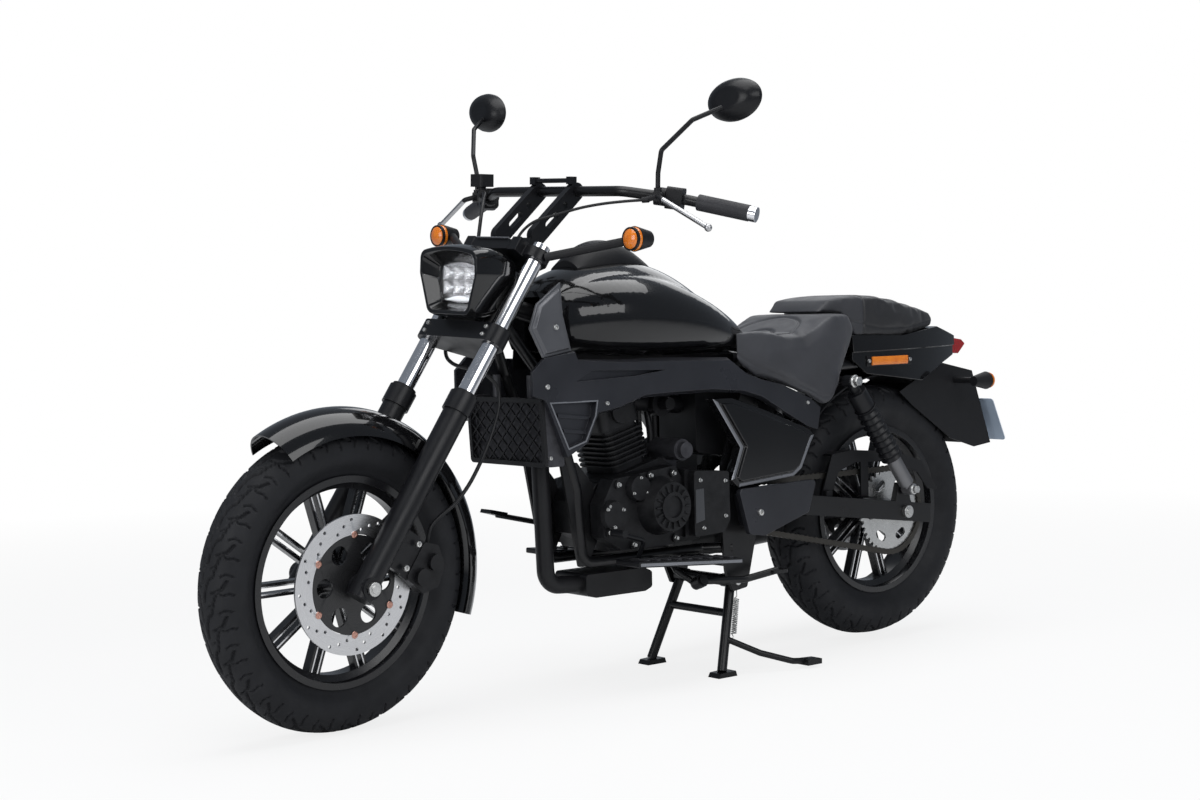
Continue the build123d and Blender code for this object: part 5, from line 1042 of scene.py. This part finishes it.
def mirror_pane(side):
    """The thin pane in the back of a teardrop head, which looks a little in and down."""
    ahead = Vector((1, 0.1 * side, 0.1)).normalized()
    wide = (Vector((0, side, 0.16)) - ahead * Vector((0, side, 0.16)).dot(ahead)).normalized()
    tall = ahead.cross(wide)
    x, y, z = HEAD_MIDDLE
    middle = Vector((x, y * side, z)) - ahead * PANE_BEHIND
    edge = [wide * PANE_HALF_WIDE * cos(t) + tall * PANE_HALF_TALL * sin(t) for t in np.linspace(0, 2 * pi, 41)[:-1]]
    return stacked([(middle + ahead * lift + point * share) * MM for point in edge] for share, lift in PANE_RINGS)


for name, ((x, y, z), way, radius, tall, where) in INDICATORS.items():
    domes = both_sides(lambda side: dome((x, side * y, z), (way, 0, 0), radius, tall))
    finished(name, domes, "amber_lens", "red_lens", **where)
finished("mirror_glass", both_sides(mirror_pane), "mirror", "chrome", **FRONT_END)


def on_arc(first, middle, last, inset=0):
    """The half width at any x of a plan arc through three (x, half width) points."""
    (ax, ay), (bx, by), (cx, cy) = first, middle, last
    aa, bb, cc = ax * ax + ay * ay, bx * bx + by * by, cx * cx + cy * cy
    d = 2 * (ax * (by - cy) + bx * (cy - ay) + cx * (ay - by))
    ux = (aa * (by - cy) + bb * (cy - ay) + cc * (ay - by)) / d
    uy = (aa * (cx - bx) + bb * (ax - cx) + cc * (bx - ax)) / d
    reach = hypot(ax - ux, ay - uy)
    return lambda x: uy + sqrt(max(reach ** 2 - (x - ux) ** 2, 0)) - inset


COWL_SKIN = 5       # millimetres: how far inside the arc the cowl's own side lies
cowl_half = on_arc((-552, 101), (-740, 109), (-958, 66), COWL_SKIN)


def along_cowl(x_from, x_to, z_low, z_high, back, front, rounding=3.0, steps=14):
    """A bar that follows each of the cowl's sides, closed, with its long edges rounded."""
    section = [(back, z_low), (front - 1.2, z_low), (front, z_low + rounding), (front, z_high - rounding),
               (front - 1.2, z_high), (back, z_high)]
    return both_sides(lambda side: stacked(
        [mm(x, side * (cowl_half(x) + out), z) for out, z in section] for x in np.linspace(x_from, x_to, steps)))


finished("side_reflector_holders", along_cowl(-598, -752, 673, 699, -1, 2.5), "plastic", "plastic_black")
finished("side_reflectors", along_cowl(-613, -737, 676, 696, 1, 5.5), "amber_lens", "red_lens")
fasteners("reflector_screws", CAP, pair_of([((x, cowl_half(x) + 2.6, 686), LEFT, 10) for x in (-604, -746)]))
print("lenses, panes and reflectors made")

# %% [markdown]
# ## Padded seats
# A seat is foam under tight vinyl: crowned, softer at its edges than a moulding, and
# pulled in along its sewn lines. Each seat starts as its plain solid. A remesh gives the
# cloth even cells, pressure swells it, and every point is held to a short way from where
# it began. The sewn channels are pressed in after that, because the remesh would rub
# them out.

# %% Swell a pad by cloth simulation
CLOTH = {"quality": 5, "mass": 0.3, "tension_stiffness": 40, "compression_stiffness": 40, "shear_stiffness": 20,
         "bending_stiffness": 30, "use_pressure": True, "uniform_pressure_force": 4}
CLOTH_STEPS = 20


def settled(piece):
    """Gives a piece the mesh that its modifiers make, and removes them."""
    bpy.context.view_layer.update()
    ready = piece.evaluated_get(bpy.context.evaluated_depsgraph_get())
    mesh = bpy.data.meshes.new_from_object(ready)
    piece.modifiers.clear()
    piece.data = mesh
    return mesh


def read(data, what):
    """The places or normals of a mesh as an array with a row for each point."""
    found = np.empty(3 * len(data.vertices))
    data.vertices.foreach_get(what, found)
    return found.reshape(-1, 3)


def swell(piece, cap):
    """Blows a piece up like a cushion, each point by no more than the cap in millimetres."""
    start = read(piece.data, "co")
    cloth = piece.modifiers.new("swell", "CLOTH")
    for key, value in CLOTH.items():
        setattr(cloth.settings, key, value)
    cloth.settings.effector_weights.gravity = 0
    cloth.point_cache.frame_end = CLOTH_STEPS
    for step in range(1, CLOTH_STEPS + 1):
        bpy.context.scene.frame_set(step)
    mesh = settled(piece)
    bpy.context.scene.frame_set(1)
    move = read(mesh, "co") - start
    far = np.linalg.norm(move, axis=1, keepdims=True)
    move *= np.minimum(1, cap * MM / np.maximum(far, 1e-9))
    mesh.vertices.foreach_set("co", (start + move).ravel())


def pad(node, finish, slot, cell, shrink, cap, rounds):
    """A swollen, subdivided pad that stands for a plain seat solid. Lengths are in millimetres."""
    bm = welded(node)
    bm.normal_update()
    for vertex, way in [(vertex, vertex.normal.copy()) for vertex in bm.verts]:
        vertex.co -= way * shrink * MM
    piece = from_bmesh(node + "_pad", bm)
    remesh = piece.modifiers.new("cells", "REMESH")
    remesh.mode, remesh.voxel_size = "VOXEL", cell * MM
    ease = piece.modifiers.new("ease", "SMOOTH")
    ease.factor, ease.iterations = 0.5, rounds
    settled(piece)
    swell(piece, cap)
    calm = piece.modifiers.new("calm", "SMOOTH")
    calm.factor, calm.iterations = 0.5, 6
    finer = piece.modifiers.new("finer", "SUBSURF")
    finer.levels = finer.render_levels = 1
    settled(piece).shade_smooth()
    return keep(piece, BODY_OF[node], FINISH[finish], slot, node)


rider = pad("rider_seat", "vinyl", "seat_vinyl", cell=5, shrink=0.0, cap=6, rounds=11)
passenger = pad("passenger_seat", "two_tone_vinyl", "seat_dark", cell=4.5, shrink=0.5, cap=5, rounds=9)
print("rider", len(rider.data.polygons), "passenger", len(passenger.data.polygons), "faces")

# %% [markdown]
# ## Sewn channels and stitches
# Two horseshoe channels shape the rider's hollow, a line follows the lower edge of each
# side, and a cross seam parts the two vinyls of the passenger's seat. Channels are
# pressed where a point looks up or outwards only, so that the base stays flat.

# %% Press the seams in
X, Y, Z = 0, 1, 2       # the axes of a place, as columns of an array
HORSESHOES = [rounded([(-128, 40), (-180, 84), (-262, 106), (-345, 104), (-398, 84), (-424, 40), (-430, 0)]),
              rounded([(-160, 28), (-215, 56), (-285, 66), (-335, 56), (-362, 28), (-368, 0)])]
SIDE_LINE = rounded([(-120, 742), (-190, 694), (-275, 663), (-372, 628), (-412, 606), (-440, 618), (-530, 742)])
CROSS_SEAM = [(-585, 700), (-585, 900)]
EDGE_LINE = [(-470, 806), (-545, 782), (-640, 764), (-740, 764), (-860, 778)]
STITCH_SIDE = 4.6       # millimetres from a channel's middle to each row of its stitches
STITCH = {"Pitch": 0.0055, "Thread": 0.0006}    # metres


def press(piece, line, half_width, deep, view, facing):
    """Presses a channel below a line seen along a view axis, where the normals pass a test."""
    places, ways = read(piece.data, "co"), read(piece.data, "normal")
    gap = from_line(places[:, [axis for axis in (X, Y, Z) if axis != view]] / MM, line)
    sink = deep * np.exp(-(gap / half_width) ** 2) * facing(ways)
    piece.data.vertices.foreach_set("co", (places - ways * sink[:, None] * MM).ravel())
    piece.data.update()


for line in HORSESHOES:
    whole = line + [(x, -y) for x, y in line[::-1]]
    press(rider, whole, half_width=4.5, deep=3.4, view=Z, facing=lambda way: way[:, Z] > 0.25)
press(rider, SIDE_LINE, half_width=4, deep=1.8, view=Y, facing=lambda way: np.abs(way[:, Y]) > 0.55)
press(passenger, CROSS_SEAM, half_width=2.6, deep=2.6, view=Y, facing=lambda way: way[:, Z] > -0.5)
press(passenger, EDGE_LINE, half_width=3, deep=2.0, view=Y, facing=lambda way: np.abs(way[:, Y]) > 0.4)


def dropped_on(piece, line, start=900, lift=0.1):
    """Where rays that fall from a height on each (x, y) meet a piece, lifted a little off it."""
    tree = BVHTree.FromObject(piece, bpy.context.evaluated_depsgraph_get())
    found = []
    for x, y in line:
        hit, normal, face, far = tree.ray_cast(mm(x, y, start), Vector((0, 0, -1)))
        if hit is not None:
            found.append(hit + normal * lift * MM)
    return found


seams = Grower("stitches_along_line", Pitch="Float", Thread="Float")
path = seams.node("GeometryNodeMeshToCurve", {"Mesh": seams.given["Geometry"]})
spots = seams.node("GeometryNodeCurveToPoints", {"Curve": path.outputs[0], "Length": seams.given["Pitch"]},
                   mode="LENGTH")
bead = seams.node("GeometryNodeMeshUVSphere", {"Segments": 6, "Rings": 4, "Radius": seams.given["Thread"]})
long = seams.node("GeometryNodeInstanceOnPoints", {
    "Points": spots.outputs["Points"], "Instance": bead.outputs[0], "Rotation": spots.outputs["Rotation"],
    "Scale": (1, 1, 2.6)})
STITCHES = seams.end(long.outputs[0])

bpy.context.view_layer.update()
beside_horseshoes = [[(x, side * y * (1 + shift / max(abs(y), 30))) for x, y in line]
                     for line in HORSESHOES for side in (-1, 1) for shift in (-STITCH_SIDE, STITCH_SIDE)]
beside_cross_seam = [[(x, y) for y in np.linspace(-96, 96, 49)] for x in (-580.5, -589.5)]
for name, piece, lines in (("rider", rider, beside_horseshoes), ("passenger", passenger, beside_cross_seam)):
    routes = [dropped_on(piece, line) for line in lines]
    grow(name + "_stitches", STITCHES, host_lines([route for route in routes if len(route) > 2]), "frame", "thread",
         "seat_dark", **STITCH)
print("seams pressed and stitched")

# %% [markdown]
# ## Light trims of the bodywork
# Thin bright strips edge the side cover and the mouth of the scoop. Each is a closed
# ribbon between an outline and a smaller copy of it, laid on the panel's face. A small
# dark strip marks the left engine cover, and a black seal closes the foot of the tank.

# %% Trims
SIDE_COVER = [(-60, 622), (-118, 622), (-196, 598), (-356, 541), (-374, 526), (-362, 508), (-331, 451),
              (-305, 435), (-133, 422), (-112, 440), (-141, 510)]
TRIM_RUNS = (([4, 5, 6, 7, 8], 0.9), ([9, 10, 0], 0.7))     # corners of a run; how proud it stands
COVER_FACE, COVER_TRIM, RIM_WIDTH = 146, 9, 4.5     # the cover's half width; widths of trim and rim
LEAST_BISECT = 0.35     # keeps a sharp corner of an offset outline from running far out
SCOOP = [(386, 632), (346, 540), (306, 553), (281, 604), (276, 632)]
COVER_STRIP = [(-7, 426), (-31, 427), (-33, 358), (-7, 352)]
APRON = [(322, 716), (318, 741), (280, 733), (200, 726), (80, 722), (-60, 721), (-190, 717), (-190, 700), (322, 700)]
APRON_HALF = {322: 70, 318: 72, 280: 88, 200: 104, 80: 110, -60: 102, -190: 72}     # half width at each x


def outline_in(corners, by):
    """A closed outline moved inwards by a distance, corner by corner."""
    after = corners[1:] + corners[:1]
    turn = 1 if sum(ax * bz - bx * az for (ax, az), (bx, bz) in zip(corners, after)) > 0 else -1
    inner = []
    for a, b, c in zip(*([Vector(p) for p in line] for line in (corners[-1:] + corners[:-1], corners, after))):
        u, v = (b - a).normalized(), (c - b).normalized()
        inward = Vector((-u.y, u.x)) * turn
        middle = (inward + Vector((-v.y, v.x)) * turn).normalized()
        inner.append(tuple(b + middle * by / max(middle.dot(inward), LEAST_BISECT)))
    return inner


def ribbon(outer, inner, low, high, depth_at, side):
    """A closed ribbon between two outlines over a run of corners, with a raised, narrower top."""
    def corner(o, i):
        (ox, oz), (ix, iz) = o, i
        section = [(ox, oz, low), (0.82 * ox + 0.18 * ix, 0.82 * oz + 0.18 * iz, high),
                   (0.18 * ox + 0.82 * ix, 0.18 * oz + 0.82 * iz, high), (ix, iz, low)]
        return [mm(x, side * (depth_at(x) + out), z) for x, z, out in section]

    return stacked(corner(o, i) for o, i in zip(outer, inner))


def cover_trims(side):
    """The bright runs along the lower and front edges of a side cover."""
    inner = outline_in(SIDE_COVER, COVER_TRIM)
    return joined([ribbon([SIDE_COVER[i] for i in run], [inner[i] for i in run], -0.6, proud, lambda x: COVER_FACE,
                          side) for run, proud in TRIM_RUNS])


def apron(side):
    """The dark seal under the tank, which follows the tank's own half width."""
    return moved(strip(APRON, 0, 3), lambda x, z, out: (x, side * (APRON_HALF[round(x / MM)] * MM + out), z))


shroud_half = on_arc((440, 138), (20, 163), (-412, 131))
wide_scoop = outline_in(SCOOP, -RIM_WIDTH)
rim, mouth = wide_scoop + wide_scoop[:1], SCOOP + SCOOP[:1]
scoop_rims = both_sides(lambda side: ribbon(rim, mouth, -4.0, 0.5, shroud_half, side))
cover_strip = moved(strip(COVER_STRIP, 142.2, 143.2), lambda x, z, out: (x, out, z))
finished("side_cover_trims", both_sides(cover_trims), "trim", "alloy_grey")
finished("scoop_rims", scoop_rims, "trim", "alloy_grey")
finished("cover_strip_left", cover_strip, "trim_dark", "engine_grey")
finished("tank_foot_seals", both_sides(apron), "plastic", "plastic_black")
print("trims laid")

# %% [markdown]
# ## Yoke plate and footboard pads
# The upper yoke carries a pale ribbed plate between the forks. Each footboard has rubber
# bars across its top and a bright strip along its outer edge.

# %% Yoke plate and footboard pads
BAR_EVERY, BARS, FIRST_BAR, BAR_MIDDLE = 30, 9, -70, 159
BOARD_REAR, BOARD_FRONT, BOARD_SIDE = -92, 200, 195.4
PLATE_AT = on_fork(34, 0, 786)


def slab_piece(corners, low, high, edge):
    """A prism with a small chamfer round its upper face, in millimetres."""
    mid_x, mid_y = (sum(corner[k] for corner in corners) / len(corners) for k in (0, 1))
    inner = []
    for x, y in corners:
        share = edge / hypot(mid_x - x, mid_y - y)
        inner.append((x + (mid_x - x) * share, y + (mid_y - y) * share))
    return stacked([mm(x, y, z) for x, y in ring]
                   for ring, z in ((corners, low), (corners, high - edge), (inner, high)))


def box_corners(x, y, half_x, half_y):
    """The corners of a rectangle about a middle."""
    return [(x - half_x, y - half_y), (x + half_x, y - half_y), (x + half_x, y + half_y), (x - half_x, y + half_y)]


def on_board(x):
    """Height of the footboard's upper face at this place, in millimetres."""
    return 272 + (x + 96) * 20 / 300


def bars(side):
    """The rubber bars across a footboard."""
    places = [FIRST_BAR + BAR_EVERY * k for k in range(BARS)]
    return joined([slab_piece(box_corners(x, BAR_MIDDLE * side, 5, 27), on_board(x) - 1, on_board(x) + 3, 1.2)
                   for x in places])


def board_edge(side):
    """The bright strip along a footboard's outer edge."""
    line = [(x, on_board(x) - down) for x, down in ((BOARD_REAR, 9.5), (BOARD_FRONT, 9.5), (BOARD_FRONT, 3),
                                                    (BOARD_REAR, 3))]
    return moved(strip(line, BOARD_SIDE, BOARD_SIDE + 1.5), lambda x, z, out: (x, side * out, z))


finished("footboard_pads", both_sides(bars), "grip", "grip_rubber")
finished("footboard_edges", both_sides(board_edge), "trim", "steel")
plate = slab_piece([(-19, -44), (19, -52), (19, 52), (-19, 44)], -0.6, 1.8, 1.0)
ribs = [slab_piece(box_corners(0, y, 15, 2), 1.6, 2.8, 0.6) for y in (-28, -14, 0, 14, 28)]
lie = Matrix.Translation(PLATE_AT) @ Matrix((FORK_FRONT, (0, 1, 0), UP_FORK)).transposed().to_4x4()
finished("yoke_plate", joined([plate] + ribs), "trim", "alloy_grey", body="steering", place=STEERED @ lie)
print(2 * BARS, "pads on the footboards")

# %% [markdown]
# ## Spring and hoses
# The stand's return spring is a helix drawn by a wire along a line of points; the same
# tree makes its end hooks, and three short rubber hoses that drain the intake.

# %% Stand spring and drain hoses
SPRING_FOOT, SPRING_TOP, SPRING_RADIUS, SPRING_TURNS = mm(-147, 106, 88), mm(-160, 103, 166), 5.5 * MM, 19
HOSES = [       # foot, top and how far the middle bows out, in millimetres
    ((30, -8, 474), (34, 0, 606), (-9, -4, 0)),
    ((10, 8, 474), (10, 0, 604), (-3, 7, 0)),
    ((-16, -6, 474), (-14, 0, 600), (-7, -5, 0)),
]


def helix(foot, top, radius, turns, steps=14):
    """Points of a helix between two places, in metres."""
    axis = top - foot
    turn = axis.to_track_quat("Z", "Y").to_matrix()
    count = turns * steps
    angles = [2 * pi * i / steps for i in range(count + 1)]
    return [foot + axis * (i / count) + turn @ Vector((radius * cos(a), radius * sin(a), 0))
            for i, a in enumerate(angles)]


def drain_hose(foot, top, bulge, steps=14):
    """Points of a short hose that bows a little between two places, in millimetres."""
    return [mm(*(low + (high - low) * k + bow * sin(pi * k) for low, high, bow in zip(foot, top, bulge)))
            for k in np.linspace(0, 1, steps)]


spring = helix(SPRING_FOOT, SPRING_TOP, SPRING_RADIUS, SPRING_TURNS)
low_hook = [mm(-126, 108, 66), mm(-140, 107, 70), mm(-146, 106, 82)]
top_hook = [mm(-161, 103, 171), mm(-162, 102, 186)]
grow("stand_spring", WIRES, host_lines([low_hook + spring + top_hook]), "stand_centre", "zinc", "steel",
     Radius=0.0013, Sides=6)
grow("drain_hoses", WIRES, host_lines([drain_hose(*hose) for hose in HOSES]), "frame", "hose", "plastic_black",
     Radius=0.0075, Sides=14)
print("stand spring", round((spring[-1] - spring[0]).length / MM), "mm long,", len(HOSES), "drain hoses")
